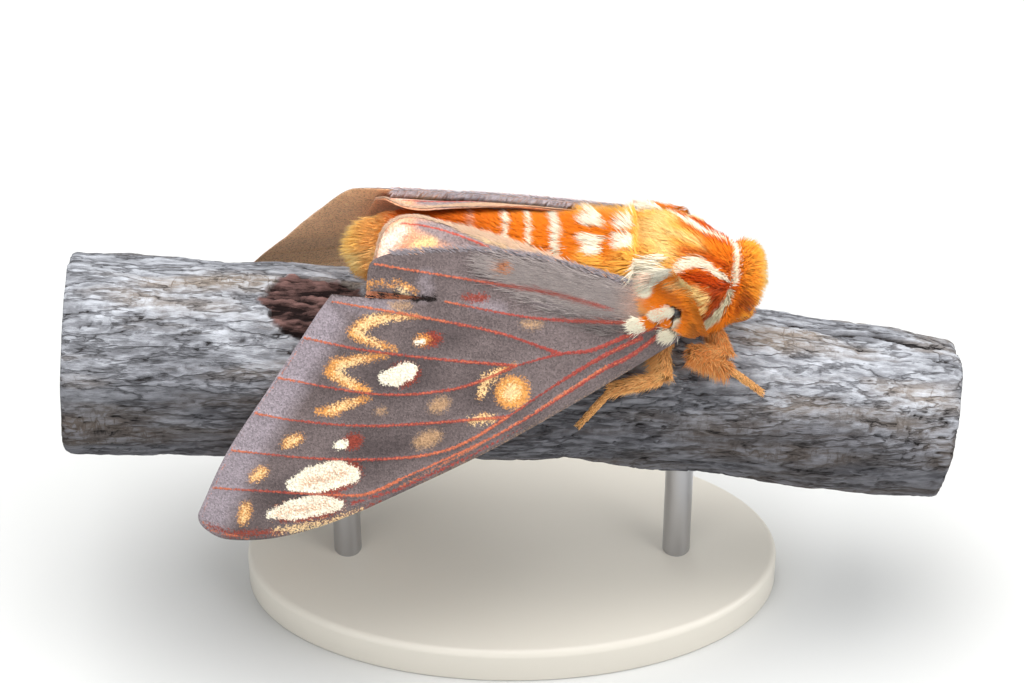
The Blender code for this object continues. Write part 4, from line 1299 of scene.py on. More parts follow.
@dataclass
class Eyes:
    """Two round dark eyes at the sides of the head, half hidden by its hair."""

    place: Place = (22.3, 2.5, 13.8)
    radius: float = 1.1

    def build(self, material: Material) -> None:
        """Both eyes."""
        for side_name, side in SIDES.items():
            slant = np.linspace(0.02, math.pi - 0.02, 33)
            heights = -np.cos(slant) * self.radius
            centre = np.array(self.place) * (1, side, 1)
            path = centre + stack(0.0, 0.0, heights)
            turns = spread_turns(48)
            spokes = stack(np.cos(turns), np.sin(turns), 0.0)
            rings = path[:, None] + spokes[None] * (np.sin(slant) * self.radius)[:, None, None]
            dress(make_mesh("eye_dome_" + side_name, *lathe_rings(path, rings)), material, "eye",
                  "eye_" + side_name)


# Wings

def costal_line(x: Array) -> Array:
    """v of the forewing's leading edge."""
    return -7.4 + 0.587 * x + 0.0055 * x * x


def inner_line(x: Array) -> Array:
    """v of the forewing's trailing edge."""
    return np.maximum(8.6, 11.2 - 0.012 * (x + 4.0) ** 2)


def forewing_depth(x: Array, v: Array) -> Array:
    """Depth of the forewing's middle surface: a tilted chord, a crown and a droop."""
    leading = 13.5 - 0.0075 * (x - 6.0) ** 2
    trailing = 17.0 - 0.0012 * (x + 1.0) ** 2
    chord = np.maximum(inner_line(x) - costal_line(x), 0.5)
    share = np.clip((v - costal_line(x)) / chord, -0.1, 1)
    outward = np.clip((12 - x) / 25, 0, 1)
    droop = 0.12 * (9.0 - np.clip(v, -3, 9)) * outward
    return leading + (trailing - leading) * share + 3.2 * share * (1 - share) - droop


def hindwing_depth(x: Array, v: Array) -> Array:
    """Depth of the hindwing: under the forewing, then round the abdomen's shoulder."""
    near_root = np.clip((x - 5) / 6, 0, 1)
    under = forewing_depth(x, v) - 1.05 - 0.3 * near_root
    axis = 15.5 * ROOT_HALF
    over = np.maximum(0.0, v - axis)
    return np.minimum(under, axis + np.sqrt(np.maximum(5.1 ** 2 - over * over, 1.0)))


def roof_places(x: Array, v: Array, w: Array, side: int) -> Array:
    """Perch places of points on a wing: x along it, v up its roof plane, w out from it."""
    return stack(x, side * (w - v) * ROOT_HALF, (w + v) * ROOT_HALF)


def oval(centre: tuple[float, float], length: float, width: float, tilt: float) -> tuple:
    """Middle line and half widths of an oval spot with half its length and width, and its tilt."""
    way = np.array((math.cos(math.radians(tilt)), math.sin(math.radians(tilt))))
    shares = np.linspace(-1, 1, 7)
    core = max(length - width, 0.01)
    points = tuple(tuple(np.array(centre) + way * core * share) for share in shares)
    return points, tuple(width * (1.0 - 0.25 * share * share) for share in shares)


FORK, RADIAL_FORK, STEM_FORK, COSTAL_FORK = (-0.7, -0.1), (-1, -5.3), (3.6, 1.4), (-11.3, -12.5)
COSTA = ((15.6, 3.6), (10.8, 0.2), (5.7, -3.4), (-1.9, -8.5), (-9.5, -13), (-17.1, -17.2),
         (-23, -19.5), (-27.9, -20.2), (-30.3, -19.5), (-31.4, -18.2), (-30.9, -16.3), (-28.8, -10.8),
         (-24.7, -3.3), (-20.9, 3.8))
WHOLE_TORNUS = ((-20.9, 3.8), (-18.9, 7.9), (-16.8, 9.8), (-13.9, 10.3))
TORN_STEP = ((-20.9, 3.8), (-19.7, 5.7))
TEAR = ((-19.7, 5.7), (-16.4, 5.6), (-12.5, 5.7), (-9.4, 5.95), (-12.5, 6.15), (-16.3, 6.3))
TORN_FLAP = ((-16.3, 6.3), (-16.1, 9.1), (-13.9, 10.3))
INNER = ((-13.9, 10.3), (-6, 11.3), (0.4, 11.1), (7.6, 9.8), (11.2, 8.9))
FOREWING_ROOT = ((11.2, 8.9), (13.6, 9.8), (15.6, 8.2), (16.4, 5.8), (15.6, 3.6))
FOREWING_VEINS = (
    ((8.5, 6.2), (3, 7.3), (-4.5, 8), (-11.4, 8.6), (-15.7, 9)),
    ((11.5, 5.1), (4.8, 4.8), (-1, 4.9), (-8.4, 5.8)),
    (STEM_FORK, (-3, 3.1), (-11, 4.1), (-19.6, 4.95)),
    (FORK, (-9, 0), (-16.6, 0.4), (-22.1, 1.15)),
    (FORK, (-6.4, -2.8), (-14.2, -4), (-24.35, -3.1)),
    (RADIAL_FORK, (-14, -7.2), (-22, -7.3), (-26.4, -6.85)),
    (RADIAL_FORK, (-5.9, -8.7), (-11.4, -10.3), (-19.7, -11), (-28.5, -10.85)),
    (COSTAL_FORK, (-14.1, -14.1), (-17.4, -14.6), (-30, -14.9)),
    ((13.5, 5), (10.2, 3.7), (6.7, 2), STEM_FORK, FORK),
    ((11.6, 3.6), (8, 1.5), (3.9, -1.4), RADIAL_FORK),
    ((13.3, 3.9), (10.8, 1.75), (7.9, 0), (4.1, -2.9), (-1.9, -7.2), COSTAL_FORK),
)
WHOLE_VEIN_END = ((-8.4, 5.8), (-13.5, 6.5), (-18.6, 7.1))
HINDWING_INNER = ((-16, 8), (-15.7, 10.4), (-15.1, 12.7), (-13.6, 14), (-11.4, 14.3),
                  (-8.4, 13.7), (-2.3, 12.4), (4.5, 10.4), (9.5, 8.6))
HINDWING_ROOT = ((9.5, 8.6), (12.8, 8), (12.8, 6.6), (8.5, 4.6))
HINDWING_COSTA = ((8.5, 4.6), (2, -1), (-5, -6), (-11, -9), (-14.8, -9.2), (-17, -6),
                  (-17.4, -1), (-16.5, 4.5), (-16, 8))
HINDWING_VEINS = (
    ((9, 6.8), (-4, 11.4), (-9.6, 13), (-13.2, 13.3)),
    ((9, 6.8), (-3, 8.4), (-15.2, 9.4)),
    ((9, 6.8), (-2, 4.9), (-15.8, 4.6)),
    ((2.4, 5.6), (-7, 1.6), (-16.6, 0.6)),
    ((2.4, 5.6), (-6, -1.2), (-16.6, -4.2)),
    ((9, 6), (2, 0.6), (-5, -4.6), (-13.6, -8)),
)
FOREWING_MARKS = {
    Mark.PALE: [
        (((-30, -17.5), (-27.6, -11), (-24.2, -4.5), (-20.3, 3)), 2),
        (((-19, 4.6), (-14, 4.9)), 0.4), (((10, 6.5), (3, 7.4), (-3, 8.6)), (1.6, 1.4, 0.2)),
        (((-5.4, 5.9), (-2.8, 5.5)), 0.05)],
    Mark.GREY: [
        oval((-11.9, -1.9), 4.4, 2.3, 20), oval((-8.6, 2.2), 3.4, 1.5, 8),
        oval((-14.5, -10.2), 5, 2, 25), oval((-21.5, -14.8), 4.4, 1.9, 18),
        oval((-3.6, -3.2), 2.6, 1.4, 28)],
    Mark.HAZE: [
        oval((-8, -4.6), 1.2, 0.65, 30), oval((-8.9, -8.2), 1.6, 0.75, 28),
        oval((0.5, 4.2), 1.1, 0.35, 5), oval((-13.8, -5.7), 0.5, 0.25, 5),
        (((11, 0.1), (5.9, -3.5), (-1.7, -8.6), (-9.3, -13.1)), 0.02)],
    Mark.RUST: [
        (((-13, -15), (-18, -17.4), (-23, -18.9), (-27.9, -19.6), (-30.3, -18.9)),
         (0.1, 0.15, 0.22, 0.25, 0.15)), oval((-18.3, -12.9), 3.65, 1.65, 20),
        oval((-20.1, -16.2), 3.9, 1.3, 15), oval((-11.9, -1.8), 2, 1.25, 21),
        oval((-5.4, 6.4), 1.4, 0.4, 4), oval((-2.4, 9.5), 1, 0.95, 0),
        oval((-9.5, 1.9), 1.4, 0.75, 12), oval((-16.4, -9), 1.3, 0.8, 18)],
    Mark.ORANGE: [
        (((-10.9, 4.1), (-14.2, 3.8), (-16, 3.1), (-17.3, 2), (-15.6, 1.3), (-12.9, 0.6)),
         (0.1, 0.4, 0.6, 0.5, 0.35, 0.15)),
        (((-13.8, 0), (-16.4, -0.6), (-18.7, -1.3), (-19.2, -2.1), (-17.5, -3), (-15.4, -3.7)),
         (0.15, 0.4, 0.6, 0.55, 0.5, 0.3)),
        (((-15.3, -4.5), (-17.1, -5.2), (-18.8, -6.1), (-20.1, -6.2)), (0.2, 0.42, 0.5, 0.25)),
        oval((-0.8, -2.8), 2, 1.65, 10),
        (((-0.8, 0), (-2.3, -0.7), (-3.6, -1.8), (-4, -3.5)), (0.1, 0.25, 0.4, 0.2)),
        (((-4.8, -6.1), (-3.4, -5.6), (-2.4, -5.6)), (0.15, 0.35, 0.15)),
        oval((-22.4, -9.4), 1.25, 0.5, 29), oval((-25.6, -13.1), 1.2, 0.55, 40),
        oval((-26.7, -17.3), 1.3, 0.6, 80), oval((-2.4, 9.5), 0.55, 0.5, 0),
        oval((-10.3, 1.75), 0.9, 0.5, 10)],
    Mark.SPECK: [
        (((-12, 4), (-15.6, 3.4), (-16.9, 2.1), (-14.6, 1)), (0.05, 0.4, 0.3, 0.05)),
        (((-15.6, -0.4), (-18.2, -1.3), (-18.4, -2.3), (-16.8, -3.2)), (0.05, 0.4, 0.4, 0.2)),
        (((-16.6, -5), (-18.8, -6)), 0.2), oval((-0.9, -2.8), 1.1, 0.8, 30),
        (((-2.3, -0.7), (-3.6, -1.8), (-3.9, -3.3)), (0.1, 0.35, 0.2)),
        (((-4.6, -6), (-2.8, -5.6)), 0.22), oval((-25.6, -13.1), 0.8, 0.25, 40),
        oval((-22.4, -9.4), 0.8, 0.2, 29), oval((-26.7, -17.3), 0.9, 0.25, 80),
        (((-15, -16), (-18, -17.6), (-21.5, -18.5), (-23.5, -18.8)), (0.1, 0.25, 0.35, 0.05))],
    Mark.CREAM: [
        (((-22, -13.9), (-20.2, -13.3), (-17.6, -12.4), (-16.2, -12.4)), (0.7, 1.4, 1.45, 0.9)),
        (((-24.1, -17.2), (-21.8, -16.5), (-19.2, -15.7), (-17.2, -15.6)), (0.4, 1.05, 1.15, 0.55)),
        (((-13.6, -2.3), (-12.6, -2.1), (-11.6, -1.5), (-11.1, -1.2)), (0.7, 1, 0.95, 0.6)),
        oval((-10.5, 1.6), 0.65, 0.3, 10), oval((-17.5, -9.4), 0.9, 0.5, 18)],
    Mark.FLECK: [oval((-19, -13), 2.4, 0.3, 20), oval((-20.7, -16.3), 2.8, 0.2, 15.3)],
    Mark.VEIN: [(((-16, -15.4), (-11.5, -13.6), (-5, -9.9), (1, -6)), (0.12, 0.14, 0.12, 0.04))],
    Mark.EMBER: [
        (((-11.2, -13.2), (-5, -9.3), (1.2, -5), (4.2, -2.6), (8.5, 0.6)), 0.09),
        (((-20.6, 3.6), (-24.4, -3.3), (-28.4, -10.6), (-30.5, -16), (-31, -18.2)), 0.02),
        (((-26, -19.9), (-29.6, -19.5), (-31, -18.5)), 0.08)],
}
# What only the right forewing has: the markings beside its tear
TORN_MARKS = {
    Mark.PALE: [(((-10.5, 6.2), (-10.2, 7), (-10.7, 7.6), (-10.4, 8.3)), 0.02)],
    Mark.HAZE: [oval((-12.8, 5), 1.1, 0.3, 5)],
    Mark.ORANGE: [
        (((-16.3, 7), (-15, 7.2), (-13.6, 6.9)), (0.2, 0.1, 0.06)),
        (((-13.6, 7.5), (-12.4, 7), (-11.4, 6.5)), (0.05, 0.3, 0.1)),
        (((-16.2, 6.4), (-16.3, 7)), 0.18)],
    Mark.SPECK: [(((-12.9, 6.6), (-12.2, 6.2)), 0.25)],
    # Painted shade: near black along the edges of the tear, the shade in the slit
    Mark.TEAR_SHADE: [
        (((-19.6, 5.6), (-17.6, 5.62)), 0.1),
        (((-15.9, 5.7), (-14.6, 5.9), (-13.8, 5.7), (-13.2, 6.1), (-12.2, 5.8)),
         (0.12, 0.3, 0.1, 0.25, 0.05)), (((-11.4, 5.7), (-10.6, 5.85), (-9.4, 5.95)), (0.2, 0.12, 0.18))],
}
HINDWING_MARKS = {
    Mark.GREY: [
        (((-11.4, 13.3), (-9, 12.8), (-5, 11.8), (-1, 10.8)), (0.6, 1.2, 1.3, 0.8)),
        (((-9, 10.6), (-4, 10), (0, 9.6)), (0.5, 1, 1)),
        (((-9, 6), (-4, 4), (0, 3)), 2.2)],
    Mark.ORANGE: [oval((-10.9, 11.2), 1.5, 0.7, 25)],
    Mark.CREAM: [(((-14.9, 9.6), (-14.4, 11.4), (-13.2, 12.6)), (0.6, 0.8, 0.5))],
}
# The forewing's scales: dry mauve-brown ground, brick veins and cream spots speckled at their edges; its
# underside colour is painted light, much paler than its own rust-brown
FOREWING_FINISH = ScaledWing(
    "wing_scales_forewing", ("#5E5251", "#6F6261"), "#FFCB9C", {
        Mark.PALE: ("#9D9299", 1, 0.08, 0.8), Mark.GREY: ("#453B3B", 1.3, 0.08, 0.75),
        Mark.HAZE: ("#C49A6E", 0.35, 0.35, 0.65), Mark.RUST: ("#8C3320", 0.2, 0.4, 0.85),
        Mark.ORANGE: ("#E0984A", 0.25, 0.35, 0.9), Mark.SPECK: ("#F4D6A0", 0.2, 0.6, 0.7),
        Mark.CREAM: ("#EFE4CC", 0.1, 0.24, 1), Mark.FLECK: ("#C97B4A", 0.3, 0.95, 0.55),
        Mark.VEIN: ("#9C3A30", 0.06, 0.1, 0.88), Mark.EMBER: ("#C9724E", 0.06, 0.1, 0.78),
        # The tear's near black is painted shade
        Mark.TEAR_SHADE: ("#16110F", 0.08, 0.1, 1)})
# The hindwing's scales: pink-orange ground with a grey panel beside a red vein
HINDWING_FINISH = ScaledWing(
    "wing_scales_hindwing", ("#E2A684", "#D8936F"), "#D9966A", {
        Mark.GREY: ("#8A7D7E", 0.45, 0.15, 0.95), Mark.ORANGE: ("#F3C98C", 0.35, 0.25, 0.9),
        Mark.CREAM: ("#F1DCCB", 0.5, 0.35, 0.9), Mark.VEIN: ("#B84A38", 0.05, 0.08, 0.9)})


class Wing:
    """One wing: a thin curved vane with raised veins, split alike on both faces."""

    OUTLINE_STEP = 0.3
    NET_STEP = 0.3
    MEMBRANE = 0.13
    VEIN_RISE = 0.16
    VEIN_HALF = 0.17

    def __init__(self, name: str, side: int, runs: Sequence, veins: Sequence, marks: Sequence[dict],
                 depth: Callable[[Array, Array], Array]) -> None:
        """Takes the wing's outline, veins, markings and curve.

        Args:
            name: its node's name.
            side: -1 for the moth's right and 1 for its left.
            runs: the runs of its outline.
            veins: the lines of its veins.
            marks: its painted markings, as middle lines with half widths for each kind.
            depth: its depth over its roof plane.
        """
        self.name = name
        self.side = side
        self.outline = np.concatenate([smooth_run(run, self.OUTLINE_STEP)[:-1] for run in runs])
        self.veins = [smooth_run(vein, self.OUTLINE_STEP) for vein in veins]
        self.marks = marks
        self.depth = depth

    @staticmethod
    def near_tree(points: Sequence) -> KDTree:
        """A tree that finds the nearest of some flat points."""
        tree = KDTree(len(points))
        for index, point in enumerate(points):
            tree.insert((*point, 0.0), index)
        tree.balance()
        return tree

    def net(self) -> tuple[Array, Array]:
        """Flat points and triangles of the wing."""
        points = [Vector(point) for point in self.outline]
        ring = list(range(len(points)))
        lines = []
        for vein in self.veins:
            first = len(points)
            points += [Vector(point) for point in vein]
            lines += [(index, index + 1) for index in range(first, len(points) - 1)]
        tree = self.near_tree(points)
        beside = []
        for vein in self.veins:
            across = tangents(vein)[:, ::-1] * (-1, 1)
            for shift in (-2, -1, 1, 2):
                beside += list(vein + across * shift * self.VEIN_HALF)
        low, high = self.outline.min(axis=0), self.outline.max(axis=0)
        grid = []
        for row, v in enumerate(np.arange(low[1], high[1], self.NET_STEP * 0.87)):
            for x in np.arange(low[0] + 0.5 * (row % 2) * self.NET_STEP, high[0], self.NET_STEP):
                grid.append((x, v))
        kept = [point for point in beside if tree.find((*point, 0.0))[2] > self.VEIN_HALF * 0.75]
        beside_tree = self.near_tree(kept)
        for point in grid:
            place = (*point, 0.0)
            if min(tree.find(place)[2], beside_tree.find(place)[2]) > self.NET_STEP * 0.5:
                kept.append(point)
        points += [Vector(point) for point in kept]
        verts, _, faces, _, _, _ = delaunay_2d_cdt(points, lines, [ring], 1, 1e-5)
        triangles = np.array(faces)
        used, flat = np.unique(triangles, return_inverse=True)
        return np.array([tuple(verts[index]) for index in used]), flat.reshape(-1, 3)

    def rise(self, flat: Array) -> tuple[Array, Array]:
        """Distance inside the nearest vein and height of the ridges at flat points."""
        inside = np.full(len(flat), OUTSIDE)
        for vein in self.veins:
            shares = np.linspace(0, 1, len(vein))
            halves = self.VEIN_HALF * (1.15 - 0.45 * shares)
            inside = np.maximum(inside, stroke_field(flat, vein, halves))
        ridge = np.exp(-((self.VEIN_HALF - inside) / 0.24) ** 2)
        return inside, np.where(inside > self.VEIN_HALF, 1.0, ridge)

    def surface(self, x: Array, v: Array, lift: Array | float) -> Array:
        """Perch places over the wing's upper face."""
        return roof_places(x, v, self.depth(x, v) + lift, self.side)

    def build(self, material: Material, grain: Grain) -> None:
        """The wing with its markings."""
        flat, triangles = self.net()
        inside, ridge = self.rise(flat)
        x, v = flat[:, 0], flat[:, 1]
        wave = 0.09 * grain.layered(stack(x * 0.12, v * 0.4, 0.0), 2)
        edge = -stroke_field(flat, np.concatenate((self.outline, self.outline[:1])), 0.0)
        thin = 0.35 + 0.65 * ramp(edge, 0, 0.5)
        upper = self.surface(x, v, (self.MEMBRANE + ridge * self.VEIN_RISE) * thin + wave)
        lower = self.surface(x, v, -(self.MEMBRANE + ridge * self.VEIN_RISE * 0.6) * thin + wave)
        count = len(flat)
        corners = [triangles, triangles[:, ::-1] + count]
        directed = np.concatenate([triangles[:, [a, b]] for a, b in ((0, 1), (1, 2), (2, 0))])
        code = directed[:, 0] * count + directed[:, 1]
        mirror = directed[:, 1] * count + directed[:, 0]
        start, end = directed[~np.isin(code, mirror)].T
        walls = stack(end, start, start + count, end + count)
        if self.side < 0:
            corners = [block[:, ::-1] for block in corners]
            walls = walls[:, ::-1]
        obj = make_mesh(self.name + "_vane", np.concatenate((upper, lower)), walls, *corners)
        fields = {mark: np.full(count, OUTSIDE) for mark in Mark}
        for mark, strokes in (item for group in self.marks for item in group.items()):
            for points, half in strokes:
                fields[mark] = np.maximum(fields[mark], stroke_field(flat, points, half))
        ends = 1.0 - ramp(edge, 1, 4.5) * ramp(-x, -9, -3) - ramp(-x, 4, -2)
        inside = inside - 0.04 + 0.08 * ramp(x, 0, 8)
        fields[Mark.VEIN] = np.maximum(fields[Mark.VEIN], inside)
        ember = inside - 0.12 * (1.0 - ends) - 0.1 * ramp(x, 2, 7)
        fields[Mark.EMBER] = np.maximum(fields[Mark.EMBER], ember)
        for mark, values in fields.items():
            below = values if mark in (Mark.VEIN, Mark.TEAR_SHADE, Mark.ORANGE, Mark.PALE) else values - 0.3
            paint(obj, mark.value, np.concatenate((values, below)))
        paint(obj, "wing_under", np.repeat((0.0, 1.0), count))
        dress(obj, material, "wing", self.name)

    def hair(self, roots: Array, ways: Array, lengths: Array, lift: float | Array,
             tones: Array, width: float) -> HairLie:
        """Hair that lies on the wing.

        Args:
            roots: flat roots.
            ways: flat directions.
            lengths: lengths.
            lift: height of the tips over the wing.
            tones: colours.
            width: width of a hair.

        Returns:
            How the hairs lie.
        """
        steps_t = np.linspace(0, 1, 3)[None, :]
        flat = roots[:, None, :] + ways[:, None, :] * (lengths[:, None] * steps_t)[..., None]
        height = -0.05 + (lift + 0.1) * steps_t
        middles = self.surface(flat[..., 0], flat[..., 1], self.MEMBRANE + height)
        x, v, step = flat[..., 0], flat[..., 1], 0.05
        along = self.surface(x + step, v, 0.0) - self.surface(x - step, v, 0.0)
        up = self.surface(x, v + step, 0.0) - self.surface(x, v - step, 0.0)
        normals = unit(np.cross(along, up)) * (1 if self.side > 0 else -1)
        low, high = self.outline.min(axis=0), self.outline.max(axis=0)
        places = np.clip((roots - low) / (high - low), 0, 1)
        return HairLie(middles, normals, np.full(len(roots), width), tones, places)


class Wings:
    """Four wings with the hair at their roots and edges."""

    HINGE = (15.1, 6.6)
    ROOT_SEED, RIM_SEED, COVER_SEED, TUFT_SEED, MARGIN_SEED, TEAR_SEED = 40, 44, 46, 50, 80, 61

    def __init__(self, grain: Grain) -> None:
        """Takes the noise that their membranes wave by."""
        self.grain = grain
        self.forewings = {}
        self.hindwings = {}
        for side_name, side in SIDES.items():
            tornus = (TORN_STEP, TEAR, TORN_FLAP) if side < 0 else (WHOLE_TORNUS,)
            veins = FOREWING_VEINS if side < 0 else (*FOREWING_VEINS, WHOLE_VEIN_END)
            marks = (FOREWING_MARKS, TORN_MARKS) if side < 0 else (FOREWING_MARKS,)
            self.forewings[side_name] = Wing(
                "forewing_" + side_name, side, (COSTA, *tornus, INNER, FOREWING_ROOT), veins, marks,
                forewing_depth)
            self.hindwings[side_name] = Wing(
                "hindwing_" + side_name, side, (HINDWING_INNER, HINDWING_ROOT, HINDWING_COSTA),
                HINDWING_VEINS, (HINDWING_MARKS,), hindwing_depth)

    def build(self, forewing: Material, hindwing: Material) -> None:
        """The four vanes."""
        for side_name in SIDES:
            self.forewings[side_name].build(forewing, self.grain)
            self.hindwings[side_name].build(hindwing, self.grain)

    def root_hair(self, wing: Wing, seed: int) -> HairLie:
        """Fine grey hair over the root and hind part of a forewing, thinning out into bare scales."""
        rng = np.random.default_rng(seed)
        share = rng.beta(1.1, 1.6, 8000)
        x = 13.2 - 18.0 * share
        middle = np.interp(x, (-4, 3, 8, 13), (9.6, 8.2, 6.9, 7))
        spread = np.interp(x, (-4, 3, 8, 13), (1.2, 2.4, 2.6, 2))
        v = middle + np.clip(rng.normal(0, 0.5, x.shape), -1.3, 1.3) * spread
        keep = (v < inner_line(x) - 0.25) & (v > costal_line(x) + 2.4)
        x, v = x[keep], v[keep]
        way = unit(stack(-1.0, 0.12 + 0.16 * rng.normal(size=x.shape)))
        near = ramp(x, 9.5, 13.5)[:, None] * rng.uniform(0.2, 1, (len(x), 1))
        tone = TONES["smoke"] * (1 - near) + TONES["blush"] * near
        tone = tone * (rng.uniform(0.65, 1.35, x.shape) * (0.5 + 0.5 * ramp(v, 4.4, 6.2)))[:, None]
        spot = ramp(0.95 - np.hypot(x + 1.9, v - 9.45), 0, 0.4)[:, None]
        tone = tone * (1 - spot) + TONES["leather"] * spot
        middle = stack(x, v) + way * 0.9
        inside = np.max([stroke_field(middle, vein, 0.1) for vein in wing.veins], axis=0)
        red = ramp(inside, -0.2, 0.05)[:, None] * 0.85
        tone = tone * (1 - red) + TONES["rust"] * red
        lengths = rng.uniform(1.2, 2.8, x.shape) * (1.0 - 0.6 * spot[:, 0])
        return wing.hair(stack(x, v), way, lengths, 0.2, tone, 0.055)

    def margin_hair(self, wing: Wing, seed: int) -> HairLie:
        """Cream-pink hair that lies back along the inner edge of a hindwing."""
        rng = np.random.default_rng(seed)
        edge = smooth_run(HINDWING_INNER, 0.1)
        tangent = tangents(edge)
        pick = rng.integers(0, len(edge), 5200)
        pick = pick[(edge[pick, 0] > -7.0) | (rng.random(len(pick)) < 0.35)]
        outward = stack(-tangent[pick, 1], tangent[pick, 0])
        deep = np.interp(edge[pick, 0], (-14, -8, -4, 4), (0.2, 0.25, 0.9, 1.4))
        inward = rng.random(len(pick)) ** 1.4 * deep + 0.12
        root = edge[pick] - outward * inward[:, None]
        sway = 0.2 + 0.14 * rng.normal(size=(len(pick), 1))
        way = unit(-tangent[pick] + outward * sway)
        straw = rng.random((len(root), 1)) * (0.35 + 0.65 * ramp(inward, 0.5, 1.1))[:, None]
        tone = TONES["blush"] * (1 - straw) + TONES["straw"] * straw
        tone = (tone * 1.4 + TONES["cream"] * 0.6) * 0.5 * rng.uniform(0.85, 1.15, len(root))[:, None]
        lengths = rng.uniform(0.4, 0.8, len(root)) * np.interp(root[:, 0], (-10, -4), (1, 2.2))
        return wing.hair(root, way, lengths, 0.08, tone, 0.06)

    def rim_hair(self, wing: Wing, seed: int) -> HairLie:
        """Pale mauve hair along the hind edge of a forewing, denser on the wing behind the body, where it
        is painted paler as painted light on hair in shade.
        """
        rng = np.random.default_rng(seed)
        edge = smooth_run(INNER, 0.1)
        far = wing.side > 0
        count = 3300 if far else 1100
        inward = rng.random(count) ** 1.5 * 0.5 + 0.02
        root = edge[rng.integers(0, len(edge), count)] - stack(0.0, inward)
        way = unit(stack(-0.9, 0.45 + 0.15 * rng.normal(size=count)))
        # Painted light: the far wing's rim hair gets a paler mauve, since it lies in shade
        tone = TONES["mauve_painted_light" if far else "mauve"] * rng.uniform(0.75, 1.1, (count, 1))
        warm = rng.random(count) < 0.08
        tone[warm] = TONES["blush"]
        lift = rng.uniform(-1.2, 0.3, (count, 1)) if far else 0.08
        return wing.hair(root, way, rng.uniform(0.4, 1.1, count), lift, tone, 0.08)

    def root_cover(self, wing: Wing, form: BodyForm, seed: int) -> HairLie:
        """Hair of the thorax that lies over the root of a forewing, open round the hinge."""
        rng = np.random.default_rng(seed)
        x, v = (rng.uniform(low, high, 9500) for low, high in ((11.6, 17.4), (3.8, 11)))
        edge = np.interp(x, (11.2, 13.6, 15.8, 17, 17.6), (9, 9.8, 8.2, 6.2, 4.6))
        high = edge + (0.9 if wing.side < 0 else -0.8)
        low = np.interp(x, (11, 12.5, 14, 16, 17.4), (8.2, 6.9, 5.9, 4.8, 5.8))
        open_hinge = np.hypot(x - self.HINGE[0] - 0.2, v - self.HINGE[1]) > rng.uniform(0.6, 1, x.shape)
        tuft = np.hypot(x - 15.4, v - 5.6) > 0.75
        keep = (v > low) & (v < high) & open_hinge & tuft
        x, v = x[keep], v[keep]
        way = unit(stack(-1.0, -0.2 + 0.2 * rng.normal(size=x.shape)))
        lengths = rng.uniform(0.9, 1.7, x.shape) + 0.5 * ramp(v - edge[keep], -0.9, 0)
        crossing = (x > self.HINGE[0]) & (np.abs(v - self.HINGE[1]) < 0.8)
        lengths = np.where(crossing, np.minimum(lengths, np.abs(x - self.HINGE[0]) - 0.1), lengths)
        tips = stack(x, v) + way * (lengths * 0.7)[:, None]
        place = wing.surface(tips[:, 0], tips[:, 1], 0.5)
        turn = np.clip(form.turn_of(place), form.ROLL - 90, form.ROLL + 90)
        tone, _ = form.tones(place[:, 0], turn, 0.1, rng)
        for share, name in (
                (ramp(-x, -13, -11.6) * 0.7, "blush"),
                (ramp(stroke_field(tips, ((11.7, 10.2), (11.2, 9.2), (11.5, 8.4)), 0.8), -0.2, 0.2),
                 "cream"),
                (ramp(stroke_field(tips, ((13.6, 9.2), (15.4, 8.6), (16.8, 7.9), (17.2, 6.4)), 0.45),
                      -0.35, 0.35) * 0.9, "straw")):
            tone = tint(tone, name, share)
        tone = tone * rng.uniform(0.85, 1.15, x.shape)[:, None]
        lift = 0.5 + 0.5 * rng.random(x.shape)[:, None]
        lie = wing.hair(stack(x, v), way, np.maximum(lengths, 0.15), lift, tone, 0.09)
        sunk = np.maximum(2.4 * ramp(v - edge[keep], -1.1, 0.5), 1.7 * ramp(x, 14.6, 16.4))
        sunk = sunk[:, None, None] * np.array((1.0, 0.5, 0.15))[:, None]
        lie.middles -= lie.normals * sunk
        return lie

    def tufts(self, wing: Wing, seed: int) -> list[HairLie]:
        """Small cream tufts where the forewing joins the thorax."""
        lies = []
        for index, (x, v, size, way, tone) in enumerate((
                (11, 4.7, 1.25, (-0.9, -0.25), "cream"), (12.9, 6.1, 1, (-0.8, -0.5), "cream"),
                (13.85, 6.4, 0.95, (-0.8, -0.4), "cream"), (15, 5.55, 1, (-0.1, -0.9), "cream"),
                (14.1, 4.1, 1.1, (-0.7, -0.6), "cream"), (12.1, 5.2, 1, (-0.9, -0.3), "orange"),
                (12, 6.6, 1.1, (-0.9, -0.2), "tan"), (14, 5.2, 0.7, (-0.9, -0.3), "orange"))):
            rng = np.random.default_rng(seed + index)
            count = 400
            angle = rng.uniform(0, CIRCLE, count)
            out = np.sqrt(rng.random(count)) * size * 0.75
            root = stack(x + 0.5 * size + np.cos(angle) * out, v + 0.25 * size + np.sin(angle) * out * 0.7)
            ways = unit(np.array(way) + rng.normal(0, 0.22, (count, 2)))
            tones = TONES[tone] * rng.uniform(0.9, 1.05, count)[:, None]
            lift = 0.95 if tone == "cream" else 0.7
            lies.append(wing.hair(root, ways, rng.uniform(0.8, 1.3, count) * size, lift, tones, 0.1))
        return lies

    def fray(self, wing: Wing) -> HairLie:
        """Torn shreds along the tear of the right forewing, coloured near black as painted shade in the
        slit.
        """
        rng = np.random.default_rng(self.TEAR_SEED)
        count = 120
        knots = np.array(((-15.6, 5.8), (-14.6, 6), (-13.2, 6.1), (-11.2, 5.8), (-10.2, 6), (-9.6, 6)))
        root = knots[rng.integers(0, len(knots), count)] + rng.normal(0, 0.22, (count, 2)) * (1.3, 0.5)
        angle = rng.normal(0, 0.5, count)
        way = stack(-np.cos(angle), np.sin(angle))
        # Painted shade: the shreds are coloured near black
        tones = TONES["soot"] * rng.uniform(0.6, 8, (count, 1))
        return wing.hair(root, way, rng.uniform(0.2, 0.55, count), 0.08, tones, 0.1)

